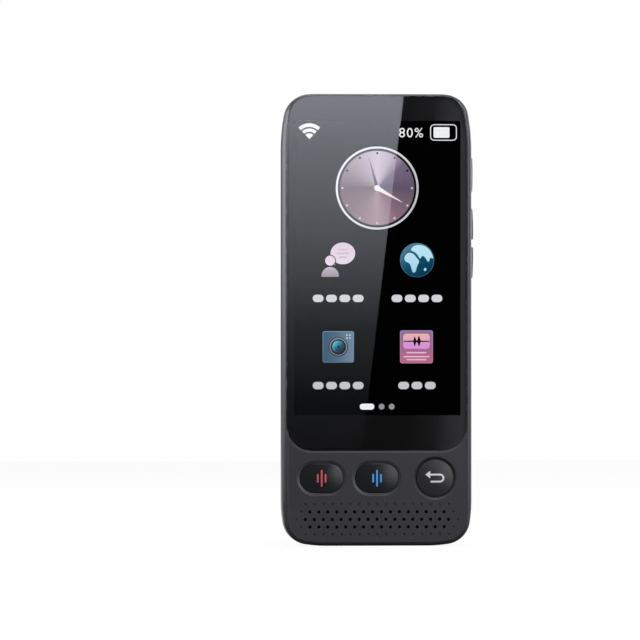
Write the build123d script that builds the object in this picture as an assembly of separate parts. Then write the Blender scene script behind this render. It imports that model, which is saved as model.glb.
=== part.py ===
from build123d import *
import os
from math import cos, radians, sin

# A handheld translator, in millimetres. X runs right across the display, Y runs from the
# display side to the camera side and Z runs up. The device stands on its flat base at
# Z = 0, and Y = 0 is the middle of its thickness.

# Casing
WIDTH = 57.0
HEIGHT = 135.3
THICKNESS = 11.6
WALL = 1.4
FRONT_ROUND = 1.2
REAR_ROUND = 4.6

# Corners of the casing: a main arc, eased into the side and the end by flatter lead arcs
TOP_ARC = 7.5
TOP_SIDE_LEAD = 60.0
TOP_SIDE_TURN = 10.0
TOP_END_LEAD = 18.0
TOP_END_TURN = 8.0
BASE_ARC = 7.65
BASE_LEAD = 42.0
BASE_TURN = 9.0

# Front pocket of the frame, which holds the cover glass and the key panel
RIM_SIDE = 1.15
RIM_TOP = 0.45
RIM_BASE = 0.9
PANEL = 1.4
PANEL_FIT = 0.06
PANEL_ROUND = 0.2
LEDGE = 2.6
LEDGE_THICKNESS = 0.8
BAR_BELOW = 1.5
BAR_ABOVE = 5.0

# Cover glass and display
GLASS = 1.0
GLASS_STEP = 0.1
GLASS_GAP = 0.08
GLASS_CORNER = 7.8
GLASS_ROUND = 0.2
PANEL_BEVEL = 0.4
HORN = 6.4
TAPE_INSET = 0.3
TAPE_WIDTH = 0.9
DISPLAY = 1.5
DISPLAY_GAP = 0.1
DISPLAY_MARGIN = 0.2
DISPLAY_DROP = 7.1
PLATE = 0.8

# Grille
GRILLE_HOLE = 1.05
GRILLE_PITCH = 2.685
GRILLE_ROW = 2.25
GRILLE_ROWS = 2
GRILLE_BASE = 7.95
GRILLE_MARGIN = 3.2
DIMPLE = 0.3
MESH = 0.1
MESH_MARGIN = 0.35

# Keys: each has a cap, a retaining flange, a nub, and a plunger in a switch below it
TALK_KEY_LENGTH = 13.05
TALK_KEY_WIDTH = 8.8
TALK_KEY_DOME = 40.0
TALK_KEY_SPACE = 3.55
BACK_KEY = 11.1
BACK_KEY_DOME = 26.0
BACK_KEY_SPACE = 5.425
KEY_PROUD = 0.15
KEY_ROUND = 0.2
KEY_GAP = 0.12
KEY_REST = 0.05
KEY_FLANGE = 0.5
KEY_FLANGE_WIDTH = 0.6
KEY_NUB = 0.3
KEY_NUB_RADIUS = 1.4
KEY_TRAVEL = 0.3
DISH = 0.8
TALK_DISH_DEPTH = 0.25
BACK_DISH_DEPTH = 0.8
DISH_ROUND = 0.2
KEY_TO_GRILLE = 0.825
KEY_TO_GLASS = 1.7
PLUNGER = 0.95
PLUNGER_RADIUS = 0.8
PLUNGER_FIT = 0.06
PLUNGER_SHOWN = 0.4
SWITCH = 1.25
SWITCH_WIDTH = 5.2

# Side keys: length, distance of the middle below the top, and rise at the upper and lower end
SIDE_KEY_WIDTH = 2.2
SIDE_KEY_DEPTH = 4.9
SIDE_KEY_GAP = 0.12
SIDE_KEY_CORNER = 0.35
SIDE_KEY_ROUND = 0.5
SIDE_KEY_CROWN = 0.12
SIDE_FLANGE_LENGTH = 0.8
POWER_LENGTH = 10.5
POWER_DROP = 24.05
POWER_RISE = 0.54
VOLUME_LENGTH = 9.4
VOLUME_DROP = 44.65
VOLUME_SPACE = 2.2
VOLUME_RISE = 0.78
VOLUME_SLOPE = 0.2
SIDE_PLUNGER_RADIUS = 0.6
SIDE_SWITCH_WIDTH = 1.9
SIDE_SWITCH_LENGTH = 3.5
STRIP = 0.5
STRIP_MARGIN = 2.0
RIB = 0.8

# Rear camera
CAMERA_DROP = 20.5
MOUND_RADIUS = 9.8
MOUND_TOP = 7.25
MOUND_HEIGHT = 0.9
MOUND_EASE = 1.3
RING_RADIUS = 6.75
RING_WIDTH = 1.1
RING_GROOVE = 0.25
RING_RISE = 0.25
RING_SEAT = 0.7
RING_ROUND = 0.3
CAMERA_FIT = 0.05
WINDOW = 0.6
WINDOW_SUNK = 0.15
WINDOW_GAP = 0.25
TRIM_DEPTH = 1.5
TRIM_FLOOR = 0.35
TRIM_HOLE = 2.8
BARREL_RADIUS = 2.7
BARREL_HOLE = 0.3
LENS_RADIUS = 1.8
LENS = 0.5
LENS_BULGE = 0.35
IRIS_RADIUS = 1.1
MODULE_SIZE = 8.5
MODULE_SUNK = 2.2

# Rear microphone slot
SLOT_DROP = 3.7
SLOT_LENGTH = 6.1
SLOT_WIDTH = 1.6
SLOT_CORNER = 0.5
SLOT_BOSS = 0.9
SLOT_BOSS_RIM = 1.4
INSERT_FIT = 0.12
INSERT_FLANGE = 0.6
INSERT_LIP = 0.5
INSERT_SUNK = 0.95
RIB_LENGTH = 5.2
RIB_WIDTH = 0.5
RIB_RISE = 0.5
RIB_DROP = 0.22
MIC_LENGTH = 3.5
MIC_WIDTH = 2.4
MIC = 1.1
MIC_PORT = 0.32
MIC_PORT_LIFT = 0.2
MIC_PORT_PITCH = 1.25
MIC_BOOT_WALL = 0.4
FRONT_BOOT_RADIUS = 2.3

# Rear shell tongue, which snaps into the frame
TONGUE = 0.8
TONGUE_DEPTH = 0.9
TONGUE_FIT = 0.1
SNAP_LENGTH = 6.0
SNAP = 0.22
SNAP_HEIGHT = 0.4
SNAP_DROP = 11.0
SNAP_LIFT = 15.3
SNAP_GAP = 4.85
GROOVE = 0.16
GROOVE_DEPTH = 0.12

# Boards, battery and screws
BOARD = 0.8
BOARD_POST = 0.4
BOARD_MARGIN = 2.0
BOARD_HEIGHT = 43.3
BOARD_GAP = 0.3
BATTERY_PAD = 0.2
BATTERY_ROOM = 1.0
BATTERY_GAP = 2.0
BATTERY_LIFT = 3.0
BATTERY_MARGIN = 4.5
BATTERY_ROUND = 1.0
KEY_BOARD_WIDTH = 43.0
KEY_BOARD_MARGIN = 0.6
BOSS_RADIUS = 1.4
BOSS_SPREAD = 4.3
SUB_BOARD_MARGIN = 2.6
SUB_BOARD_GAP = 0.2
SUB_LEDGE = 4.0
SUB_LEDGE_HEIGHT = 5.0
SUB_LEDGE_DEPTH = 1.5
SCREW_RADIUS = 0.6
SCREW_HEAD = 1.2
SCREW_HEAD_HEIGHT = 0.5
SCREW_FIT = 0.05
SHIELD = 1.8
SHIELD_SHEET = 0.2
CHIP = 1.0
CHIP_SIZE = 8.0
FLEX = 0.15
FLEX_BEND = 0.5
FLEX_WIDTH = 9.0
FLEX_END = 3.0
FLEX_SLOT = 1.7
FLEX_SLOT_ROOM = 1.0
DISPLAY_FLEX_X = 8.0
MAIN_FLEX_X = -12.0
LEAD_WIDTH = 4.5
PAD_WIDTH = 33.0
PAD_HEIGHT = 37.0

# Speakers
SPEAKER_WIDTH = 10.2
SPEAKER_GAP = 5.6
SPEAKER_SPACE = 1.03
SPEAKER_DEPTH = 3.2
SPEAKER_RIM = 0.8
SPEAKER_BACK = 0.4
SPEAKER_BASE = 3.2
GASKET = 0.4
DIAPHRAGM = 0.2
DIAPHRAGM_SEAT = 0.5
DIAPHRAGM_FIT = 0.05
MAGNET_LENGTH = 9.0
MAGNET_WIDTH = 5.0
MAGNET = 1.5

# Charging socket
USB_WIDTH = 8.94
USB_HEIGHT = 3.16
USB_LENGTH = 7.35
USB_SHEET = 0.3
USB_SUNK = 0.15
USB_GAP = 0.13
USB_TONGUE_WIDTH = 6.7
USB_TONGUE = 0.7
USB_TONGUE_SUNK = 1.0
USB_CORE = 1.9

# Vibration motor and antenna
MOTOR_RADIUS = 4.0
MOTOR = 2.7
MOTOR_DROP = 12.0
ANTENNA_LENGTH = 15.0
ANTENNA_WIDTH = 6.5
ANTENNA = 0.15
ANTENNA_GAP = 2.1

# Depths, front to rear
FRONT = -THICKNESS / 2
REAR = THICKNESS / 2
SEAM = REAR - REAR_ROUND
PANEL_REAR = FRONT + PANEL
GLASS_FRONT = FRONT + GLASS_STEP
GLASS_REAR = GLASS_FRONT + GLASS
DISPLAY_FRONT = GLASS_REAR + DISPLAY_GAP
DISPLAY_REAR = DISPLAY_FRONT + DISPLAY
PLATE_FRONT = DISPLAY_REAR + DISPLAY_GAP
PLATE_REAR = PLATE_FRONT + PLATE
BOARD_FRONT = PLATE_REAR + BOARD_POST
BOARD_REAR = BOARD_FRONT + BOARD
SWITCH_STACK = KEY_REST + KEY_FLANGE + KEY_NUB + PLUNGER_SHOWN + SWITCH
KEY_BOARD_FRONT = PANEL_REAR + SWITCH_STACK
KEY_BOARD_REAR = KEY_BOARD_FRONT + BOARD
SUB_BOARD_FRONT = KEY_BOARD_REAR + SCREW_HEAD_HEIGHT + SUB_BOARD_GAP
SUB_BOARD_REAR = SUB_BOARD_FRONT + BOARD
BATTERY_FRONT = PLATE_REAR + BATTERY_PAD
BATTERY_REAR = REAR - WALL - BATTERY_ROOM
SIDE_KEY_MIDDLE = FRONT + SIDE_KEY_DEPTH
MOUND_REAR = REAR + MOUND_HEIGHT
MODULE_REAR = REAR - MODULE_SUNK
BARREL_REAR = MOUND_REAR - TRIM_DEPTH + TRIM_FLOOR
SPEAKER_FRONT = PANEL_REAR + MESH + GASKET
USB_Y = SUB_BOARD_FRONT - USB_HEIGHT / 2

# Heights, base to top
BACK_DISH = BACK_KEY / 2 + KEY_GAP + DISH
GRILLE_TOP = GRILLE_BASE + GRILLE_ROWS * GRILLE_ROW + GRILLE_HOLE / 2
KEY_ROW = GRILLE_TOP + KEY_TO_GRILLE + BACK_DISH
CHIN = KEY_ROW + BACK_DISH + KEY_TO_GLASS
BAR_BASE = CHIN - BAR_BELOW
BAR_TOP = CHIN + BAR_ABOVE
BOARD_BASE = HEIGHT - BOARD_HEIGHT
BATTERY_BASE = BAR_TOP + BATTERY_LIFT
BATTERY_TOP = BOARD_BASE - BATTERY_GAP
CAMERA_Z = HEIGHT - CAMERA_DROP
SLOT_Z = HEIGHT - SLOT_DROP
FRONT_MIC_Z = GRILLE_BASE + GRILLE_ROW
SPEAKER_Z = SPEAKER_BASE + SPEAKER_WIDTH / 2

# Widths
SIDE = WIDTH / 2
STRIP_FACE = SIDE - WALL - SWITCH_STACK
RIB_FACE = STRIP_FACE - STRIP - RIB
BACK_KEY_X = TALK_KEY_LENGTH / 2 + BACK_KEY_SPACE + BACK_KEY / 2
TALK_KEY_X = -(TALK_KEY_LENGTH + TALK_KEY_SPACE)
LEDGE_SCREW_X = SIDE - WALL - TONGUE_FIT - TONGUE - SCREW_HEAD - BOARD_GAP
CAMERA_BORE = RING_RADIUS - RING_WIDTH
SPEAKER_INNER = USB_WIDTH / 2 + SPEAKER_SPACE
SPEAKER_OUTER = SIDE - WALL - SPEAKER_GAP
SPEAKER_LENGTH = SPEAKER_OUTER - SPEAKER_INNER
SPEAKER_X = (SPEAKER_INNER + SPEAKER_OUTER) / 2
ANTENNA_X = -(SIDE - REAR_ROUND - ANTENNA_GAP - ANTENNA_LENGTH / 2)

TOP_CORNER = (TOP_ARC, TOP_SIDE_LEAD, TOP_SIDE_TURN, TOP_END_LEAD, TOP_END_TURN)
BASE_CORNER = (BASE_ARC, BASE_LEAD, BASE_TURN, BASE_LEAD, BASE_TURN)
REACH = 2 * HEIGHT


# ---------------------------------------------------------------- sketches and layers

def layer(sketch, front, rear):
    """A sketch in X and Z, filled from one depth to a deeper one."""
    plane = Plane((0, rear, 0), x_dir=(1, 0, 0), z_dir=(0, -1, 0))
    return extrude(plane * sketch, amount=rear - front)


def side_layer(sketch, inner, outer):
    """A sketch in Y and Z, filled across X."""
    plane = Plane((inner, 0, 0), x_dir=(0, 1, 0), z_dir=(1, 0, 0))
    return extrude(plane * sketch, amount=outer - inner)


def plate(x, z, width, height, front, rear):
    """A rectangular block about a point of the front view."""
    return layer(Pos(x, z) * Rectangle(width, height), front, rear)


def drum(x, z, radius, front, rear):
    """A round block about a point of the front view."""
    return layer(Pos(x, z) * Circle(radius), front, rear)


def above(z):
    """The whole front view above a height."""
    return Pos(0, z + REACH / 2) * Rectangle(REACH, REACH)


def below(z):
    """The whole front view below a height."""
    return Pos(0, z - REACH / 2) * Rectangle(REACH, REACH)


def corner_arcs(inset, arc, side_lead, side_turn, end_lead, end_turn):
    """Points of the three tangent arcs of an eased corner that would be sharp at (0, 0)."""
    turn = radians(side_turn)
    end = radians(end_turn)
    x = -side_lead + (side_lead - arc) * cos(turn)
    z = -end_lead + (end_lead - arc) * cos(end)
    arcs = [
        (-side_lead, z - (side_lead - arc) * sin(turn), side_lead, 0, side_turn),
        (x, z, arc, side_turn, 90 - end_turn),
        (x - (end_lead - arc) * sin(end), -end_lead, end_lead, 90 - end_turn, 90),
    ]
    points = []
    for centre_x, centre_z, radius, first, last in arcs:
        angles = [radians(angle) for angle in (first, (first + last) / 2, last)]
        reach = radius - inset
        points.append([(centre_x + reach * cos(a), centre_z + reach * sin(a)) for a in angles])
    return points


def outline(side=0.0, top=None, base=None):
    """The casing's outline, moved in by a margin at the sides, the top and the base."""
    top = side if top is None else top
    base = side if base is None else base
    edges = []
    ends = []
    for up, level, corner in ((1, HEIGHT + side - top, TOP_CORNER), (-1, base - side, BASE_CORNER)):
        for right in (1, -1):
            arcs = [[(right * (SIDE + x), level + up * z) for x, z in points]
                    for points in corner_arcs(side, *corner)]
            edges += [ThreePointArc(*points) for points in arcs]
            ends.append((arcs[0][0], arcs[-1][-1]))
    top_right, top_left, base_right, base_left = ends
    edges += [Line(top_right[1], top_left[1]), Line(base_right[1], base_left[1])]
    edges += [Line(top_right[0], base_right[0]), Line(top_left[0], base_left[0])]
    return make_face(edges)


def glass_outline(grow=0.0):
    """The cover glass: the top of the pocket's outline, with round lower corners."""
    side = RIM_SIDE + PANEL_FIT + GLASS_GAP - grow
    top = RIM_TOP + GLASS_GAP - grow
    face = outline(side, top) & above(CHIN - grow)
    return fillet(face.vertices().sort_by(Axis.Y)[:2], GLASS_CORNER + grow)


def turned(points, x, z):
    """A closed profile of radius and depth, turned about a line along Y."""
    face = Plane((x, 0, z), x_dir=(1, 0, 0), z_dir=(0, 0, 1)) * make_face(Polyline(*points, close=True))
    return revolve(face, axis=Axis((x, 0, z), (0, 1, 0)))


# ---------------------------------------------------------------- casing

def casing():
    """The whole outer form, front rim and rear edge rounded."""
    body = layer(outline(), FRONT, REAR)
    body = fillet(body.faces().sort_by(Axis.Y)[-1].edges(), REAR_ROUND)
    return fillet(body.faces().sort_by(Axis.Y)[0].edges(), FRONT_ROUND)


def cavity():
    """The room inside the casing's wall."""
    room = layer(outline(WALL), FRONT, REAR - WALL)
    return fillet(room.faces().sort_by(Axis.Y)[-1].edges(), REAR_ROUND - WALL)


def snaps(reach, slack):
    """The ridges of the tongue, or with slack the grooves that they snap into."""
    middle = SEAM - TONGUE_DEPTH / 2
    face = SIDE - WALL - TONGUE_FIT
    below_keys = strip_span()[0] - SNAP_GAP
    ridges = []
    for z in (SNAP_LIFT, (SNAP_LIFT + below_keys) / 2, below_keys, HEIGHT - SNAP_DROP):
        section = Pos(middle, z) * Rectangle(SNAP_HEIGHT + slack, SNAP_LENGTH + slack)
        ridges.append(side_layer(section, face - TONGUE / 2, face + reach))
        ridges.append(side_layer(section, -face - reach, -face + TONGUE / 2))
    return ridges


def parting_groove():
    """The fine line round the outside where the frame and the rear shell meet."""
    return layer(above(-REACH / 2) - outline(GROOVE_DEPTH), SEAM - GROOVE / 2, SEAM + GROOVE / 2)


def side_keys():
    """Name, middle height, length and rise at the top and base of each side key."""
    shift = (VOLUME_LENGTH + VOLUME_SPACE) / 2
    volume = HEIGHT - VOLUME_DROP
    low = VOLUME_RISE - VOLUME_SLOPE
    return [
        ("power", HEIGHT - POWER_DROP, POWER_LENGTH, POWER_RISE, POWER_RISE),
        ("volume_up", volume + shift, VOLUME_LENGTH, low, VOLUME_RISE),
        ("volume_down", volume - shift, VOLUME_LENGTH, VOLUME_RISE, low),
    ]


def board_screw_places():
    """Where the main board's screws stand."""
    right = RIB_FACE - BOARD_GAP - 2 * SCREW_HEAD
    left = -(SIDE - BOARD_MARGIN - 2 * SCREW_HEAD)
    low = BOARD_BASE + 2 * SCREW_HEAD
    high = HEIGHT - BOARD_MARGIN - TOP_ARC / 2 - SCREW_HEAD
    return [(x, z) for x in (left, right) for z in (low, high)]


def sub_board_screw_places():
    """Where the lower board's screws stand, on the frame's ledges."""
    heights = (BASE_ARC + SUB_LEDGE_HEIGHT / 2, KEY_ROW)
    return [(x, z) for x in (-LEDGE_SCREW_X, LEDGE_SCREW_X) for z in heights]


def mid_frame():
    """Frame: outer wall, ledge for the glass and the key panel, and the plate behind the display."""
    frame = casing() & layer(above(-REACH / 2), FRONT, SEAM)
    frame -= layer(outline(RIM_SIDE, RIM_TOP, RIM_BASE), FRONT, PANEL_REAR)
    frame -= layer(outline(LEDGE) & above(BAR_TOP), PANEL_REAR, PLATE_FRONT)
    frame -= layer(outline(LEDGE) & below(BAR_BASE), PANEL_REAR, PANEL_REAR + LEDGE_THICKNESS)
    frame -= layer(outline(WALL) & below(BAR_BASE), PANEL_REAR + LEDGE_THICKNESS, PLATE_REAR)
    frame -= layer(outline(WALL), PLATE_REAR, SEAM)
    for x, z in board_screw_places():
        frame += drum(x, z, SCREW_HEAD, PLATE_REAR, BOARD_FRONT)
    for x, z in sub_board_screw_places():
        right = 1 if x > 0 else -1
        ledge = right * (SIDE - (WALL + SUB_LEDGE) / 2)
        frame += plate(ledge, z, SUB_LEDGE, SUB_LEDGE_HEIGHT,
                       SUB_BOARD_FRONT - SUB_LEDGE_DEPTH, SUB_BOARD_FRONT)
    frame += side_layer(strip_face(), RIB_FACE, RIB_FACE + RIB)
    for x, z in board_screw_places():
        frame -= drum(x, z, SCREW_RADIUS + SCREW_FIT, PLATE_FRONT, BOARD_FRONT)
    for x, z in sub_board_screw_places():
        frame -= drum(x, z, SCREW_RADIUS + SCREW_FIT, SUB_BOARD_FRONT - SUB_LEDGE_DEPTH, SUB_BOARD_FRONT)
    for _, z, length, _, _ in side_keys():
        room = 2 * SIDE_KEY_GAP
        slot = RectangleRounded(SIDE_KEY_WIDTH + room, length + room, SIDE_KEY_CORNER)
        frame -= side_layer(Pos(SIDE_KEY_MIDDLE, z) * slot, SIDE - WALL - PANEL_FIT, SIDE + WALL)
    frame -= display_flex_slot()
    frame -= usb_section(USB_GAP, -USB_SUNK, WALL * 2)
    frame -= parting_groove()
    for groove in snaps(SNAP + 2 * TONGUE_FIT, 2 * TONGUE_FIT):
        frame -= groove
    return frame


def rear_shell():
    """Rear shell: one rounded cover with the camera mound, the rear slot and the snap tongue."""
    shell = casing() & layer(above(-REACH / 2), SEAM, REAR)
    shell -= cavity()
    inner = WALL + TONGUE_FIT + TONGUE
    shell += layer(outline(WALL / 2) - outline(inner), SEAM, SEAM + TONGUE)
    shell += layer(outline(WALL + TONGUE_FIT) - outline(inner), SEAM - TONGUE_DEPTH, SEAM)
    for ridge in snaps(SNAP, 0):
        shell += ridge
    shell -= parting_groove()
    shell += camera_mound()
    boss = Pos(0, SLOT_Z) * Rectangle(SLOT_LENGTH + 2 * SLOT_BOSS_RIM, 2 * SLOT_WIDTH)
    shell += layer(boss, REAR - WALL - SLOT_BOSS, REAR - WALL + INSERT_FIT)
    slot = RectangleRounded(SLOT_LENGTH, SLOT_WIDTH, SLOT_CORNER)
    shell -= layer(Pos(0, SLOT_Z) * slot, REAR - 2 * WALL - SLOT_BOSS, REAR)
    shell -= drum(0, CAMERA_Z, RING_RADIUS + CAMERA_FIT, MOUND_REAR - RING_SEAT, MOUND_REAR)
    edge = RING_RADIUS + CAMERA_FIT + RING_GROOVE
    groove = [(RING_RADIUS, MOUND_REAR - RING_GROOVE - CAMERA_FIT), (edge, MOUND_REAR), (RING_RADIUS, MOUND_REAR)]
    shell -= turned(groove, 0, CAMERA_Z)
    shell -= drum(0, CAMERA_Z, CAMERA_BORE, MOUND_REAR - TRIM_DEPTH, MOUND_REAR)
    shell -= drum(0, CAMERA_Z, BARREL_RADIUS + BARREL_HOLE, REAR - 2 * WALL, REAR)
    return shell


def camera_mound():
    """The soft swelling of the rear shell round the camera."""
    foot = (MOUND_RADIUS, REAR)
    head = (MOUND_TOP, MOUND_REAR)
    slope = Bezier(foot, (MOUND_RADIUS - MOUND_EASE, REAR), (MOUND_TOP + MOUND_EASE, MOUND_REAR), head)
    flat = Polyline(head, (0, MOUND_REAR), (0, REAR - WALL / 2), (MOUND_RADIUS, REAR - WALL / 2), foot)
    face = Plane((0, 0, CAMERA_Z)) * make_face([slope, flat])
    return revolve(face, axis=Axis((0, 0, CAMERA_Z), (0, 1, 0)))


# ---------------------------------------------------------------- key panel and front keys

def talk_key_shape(grow=0.0):
    """Outline of a talk key, about its own middle."""
    return SlotOverall(TALK_KEY_LENGTH + 2 * grow, TALK_KEY_WIDTH + 2 * grow)


def back_key_shape(grow=0.0):
    """Outline of the round back key, about its own middle."""
    return Circle(BACK_KEY / 2 + grow)


FRONT_KEYS = [
    ("left_talk", TALK_KEY_X, talk_key_shape, TALK_KEY_DOME, TALK_DISH_DEPTH),
    ("right_talk", 0.0, talk_key_shape, TALK_KEY_DOME, TALK_DISH_DEPTH),
    ("back", BACK_KEY_X, back_key_shape, BACK_KEY_DOME, BACK_DISH_DEPTH),
]


def on_front(sketch, x, z, depth):
    """A sketch placed at a depth, facing the front."""
    return Plane((x, depth, z), x_dir=(1, 0, 0), z_dir=(0, -1, 0)) * sketch


def key_dish(shape, x, depth):
    """The sloping dish that a front key lies in."""
    floor = on_front(shape(KEY_GAP), x, KEY_ROW, FRONT + depth)
    mouth = on_front(shape(KEY_GAP + DISH), x, KEY_ROW, FRONT)
    return loft([floor.face(), mouth.face()])


def at_dish_mouth(edge):
    """Whether an edge of the key panel lies in its front face, round a key dish."""
    box = edge.bounding_box()
    reach = BACK_DISH + DISH_ROUND
    flush = box.max.Y < FRONT + DISH_ROUND / 2
    return flush and KEY_ROW - box.min.Z < reach and box.max.Z - KEY_ROW < reach


def grille_places():
    """Through holes, and the blind dimples that fade the pattern out at its edge."""
    half = int((SIDE - GRILLE_MARGIN) / GRILLE_PITCH)
    holes, dimples = [], []
    for row in range(-GRILLE_ROWS, GRILLE_ROWS + 1):
        z = GRILLE_BASE + row * GRILLE_ROW
        last = half - abs(row) / 2
        count = int(2 * last) + 1
        for step in range(count):
            place = ((step - last) * GRILLE_PITCH, z)
            edge = step in (0, count - 1) or abs(row) == GRILLE_ROWS
            (dimples if edge else holes).append(place)
    return holes, dimples


def boss_places():
    """Where the key board is screwed to the key panel, between the keys."""
    left = TALK_KEY_X / 2
    right = (TALK_KEY_LENGTH / 2 + BACK_KEY_X - BACK_KEY / 2) / 2
    return [(x, KEY_ROW + side * BOSS_SPREAD) for x in (left, right) for side in (-1, 1)]


def rounds(places, radius):
    """One sketch of equal circles."""
    return Sketch() + [Pos(x, z) * Circle(radius) for x, z in places]


def front_panel():
    """Key panel: fills the pocket below the glass, with key dishes and the speaker grille."""
    face = outline(RIM_SIDE + PANEL_FIT, RIM_TOP + PANEL_FIT, RIM_BASE + PANEL_FIT)
    panel = layer(face, FRONT, PANEL_REAR)
    panel = fillet(panel.faces().sort_by(Axis.Y)[0].edges(), PANEL_ROUND)
    panel &= layer(below(CHIN + HORN), FRONT, PANEL_REAR)
    panel -= layer(glass_outline(GLASS_GAP), FRONT, PANEL_REAR)
    low = on_front(glass_outline(GLASS_GAP), 0, 0, FRONT + PANEL_BEVEL)
    high = on_front(glass_outline(GLASS_GAP + PANEL_BEVEL), 0, 0, FRONT)
    panel -= loft([low.face(), high.face()])
    for _, x, shape, _, depth in FRONT_KEYS:
        panel -= key_dish(shape, x, depth)
    panel = fillet([edge for edge in panel.edges() if at_dish_mouth(edge)], DISH_ROUND)
    for _, x, shape, _, _ in FRONT_KEYS:
        panel -= layer(Pos(x, KEY_ROW) * shape(KEY_GAP), FRONT, PANEL_REAR)
    holes, dimples = grille_places()
    panel -= layer(rounds(holes, GRILLE_HOLE / 2), FRONT, PANEL_REAR)
    panel -= layer(rounds(dimples, GRILLE_HOLE / 2), FRONT, FRONT + DIMPLE)
    panel += layer(rounds(boss_places(), BOSS_RADIUS), PANEL_REAR, KEY_BOARD_FRONT)
    panel -= layer(rounds(boss_places(), SCREW_RADIUS + SCREW_FIT), PANEL_REAR, KEY_BOARD_FRONT)
    return panel


def front_key(x, shape, dome):
    """Key: domed cap, retaining flange behind the panel, and the nub that meets the plunger."""
    flange = PANEL_REAR + KEY_REST
    cap = layer(Pos(x, KEY_ROW) * shape(), FRONT - KEY_PROUD, flange)
    cap &= Pos(x, FRONT - KEY_PROUD + dome, KEY_ROW) * Sphere(dome)
    cap = fillet(cap.faces().sort_by(Axis.Y)[0].edges(), KEY_ROUND)
    cap += layer(Pos(x, KEY_ROW) * shape(KEY_FLANGE_WIDTH), flange, flange + KEY_FLANGE)
    cap += drum(x, KEY_ROW, KEY_NUB_RADIUS, flange + KEY_FLANGE, flange + KEY_FLANGE + KEY_NUB)
    return cap


def front_plunger(x):
    """Switch plunger below a front key."""
    start = PANEL_REAR + KEY_REST + KEY_FLANGE + KEY_NUB
    return drum(x, KEY_ROW, PLUNGER_RADIUS, start, start + PLUNGER)


def key_switches():
    """Three tact switch bodies on the key board."""
    bodies = []
    face = KEY_BOARD_FRONT - SWITCH
    well = face - PLUNGER_SHOWN + PLUNGER + KEY_TRAVEL + PLUNGER_FIT
    for _, x, _, _, _ in FRONT_KEYS:
        body = plate(x, KEY_ROW, SWITCH_WIDTH, SWITCH_WIDTH, face, KEY_BOARD_FRONT)
        bodies.append(body - drum(x, KEY_ROW, PLUNGER_RADIUS + PLUNGER_FIT, face, well))
    return bodies


def key_board():
    """Circuit board that carries the front key switches."""
    height = 2 * (BOSS_SPREAD + BOSS_RADIUS + KEY_BOARD_MARGIN)
    board = plate(0, KEY_ROW, KEY_BOARD_WIDTH, height, KEY_BOARD_FRONT, KEY_BOARD_REAR)
    return board - layer(rounds(boss_places(), SCREW_RADIUS + SCREW_FIT), KEY_BOARD_FRONT, KEY_BOARD_REAR)


def screw(x, z, seat, length):
    """A pan head screw, its head behind the seat and its shank running forward."""
    shank = drum(x, z, SCREW_RADIUS, seat - length, seat)
    head = drum(x, z, SCREW_HEAD, seat, seat + SCREW_HEAD_HEIGHT)
    top = seat + SCREW_HEAD_HEIGHT
    socket = layer(Pos(x, z) * RegularPolygon(SCREW_RADIUS, 6), top - SCREW_HEAD_HEIGHT / 2, top)
    return shank + head - socket


# ---------------------------------------------------------------- side keys

def strip_span():
    """Lowest and highest point of the side key strip."""
    keys = side_keys()
    low = min(z - length / 2 for _, z, length, _, _ in keys)
    high = max(z + length / 2 for _, z, length, _, _ in keys)
    return low - STRIP_MARGIN, high + STRIP_MARGIN


def strip_face():
    """Section of the side key strip and of the rib behind it, in Y and Z."""
    low, high = strip_span()
    rear = SIDE_KEY_MIDDLE + SIDE_KEY_WIDTH / 2
    return Pos((PLATE_REAR + rear) / 2, (low + high) / 2) * Rectangle(rear - PLATE_REAR, high - low)


def side_key(z, length, rise_top, rise_base):
    """Side key: cap through the frame's wall, flange behind it, and the nub."""
    flange = SIDE - WALL - KEY_REST
    top, base = z + length / 2, z - length / 2
    crown = SIDE + (rise_top + rise_base) / 2 + SIDE_KEY_CROWN
    bow = ThreePointArc((SIDE + rise_base, base), (crown, z), (SIDE + rise_top, top))
    face = make_face([bow, Polyline((SIDE + rise_top, top), (flange, top), (flange, base),
                                    (SIDE + rise_base, base))])
    front = SIDE_KEY_MIDDLE - SIDE_KEY_WIDTH / 2
    cap = layer(face, front, front + SIDE_KEY_WIDTH)
    cap = fillet(cap.edges().group_by(Axis.X)[-1] + cap.faces().sort_by(Axis.X)[-1].edges(), SIDE_KEY_ROUND)
    tab = Rectangle(SIDE_KEY_WIDTH, length + 2 * SIDE_FLANGE_LENGTH)
    cap += side_layer(Pos(SIDE_KEY_MIDDLE, z) * tab, flange - KEY_FLANGE, flange)
    nub = Pos(SIDE_KEY_MIDDLE, z) * Rectangle(2 * SIDE_PLUNGER_RADIUS, 2 * SIDE_PLUNGER_RADIUS)
    return cap + side_layer(nub, flange - KEY_FLANGE - KEY_NUB, flange - KEY_FLANGE)


def side_plunger(z):
    """Switch plunger behind a side key."""
    start = SIDE - WALL - KEY_REST - KEY_FLANGE - KEY_NUB
    return side_layer(Pos(SIDE_KEY_MIDDLE, z) * Circle(SIDE_PLUNGER_RADIUS), start - PLUNGER, start)


def side_switches():
    """Three small switch bodies on the side key strip."""
    bodies = []
    face = STRIP_FACE + SWITCH
    well = face + PLUNGER_SHOWN - PLUNGER - KEY_TRAVEL - PLUNGER_FIT
    for _, z, _, _, _ in side_keys():
        section = Pos(SIDE_KEY_MIDDLE, z) * Rectangle(SIDE_SWITCH_WIDTH, SIDE_SWITCH_LENGTH)
        bore = Pos(SIDE_KEY_MIDDLE, z) * Circle(SIDE_PLUNGER_RADIUS + PLUNGER_FIT)
        bodies.append(side_layer(section, STRIP_FACE, face) - side_layer(bore, well, face))
    return bodies


def side_key_strip():
    """Narrow circuit strip that carries the side switches, against the frame's rib."""
    return side_layer(strip_face(), STRIP_FACE - STRIP, STRIP_FACE)


# ---------------------------------------------------------------- glass and display

def cover_glass():
    """Cover glass with a softly rounded front edge."""
    glass = layer(glass_outline(), GLASS_FRONT, GLASS_REAR)
    return fillet(glass.faces().sort_by(Axis.Y)[0].edges(), GLASS_ROUND)


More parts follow.
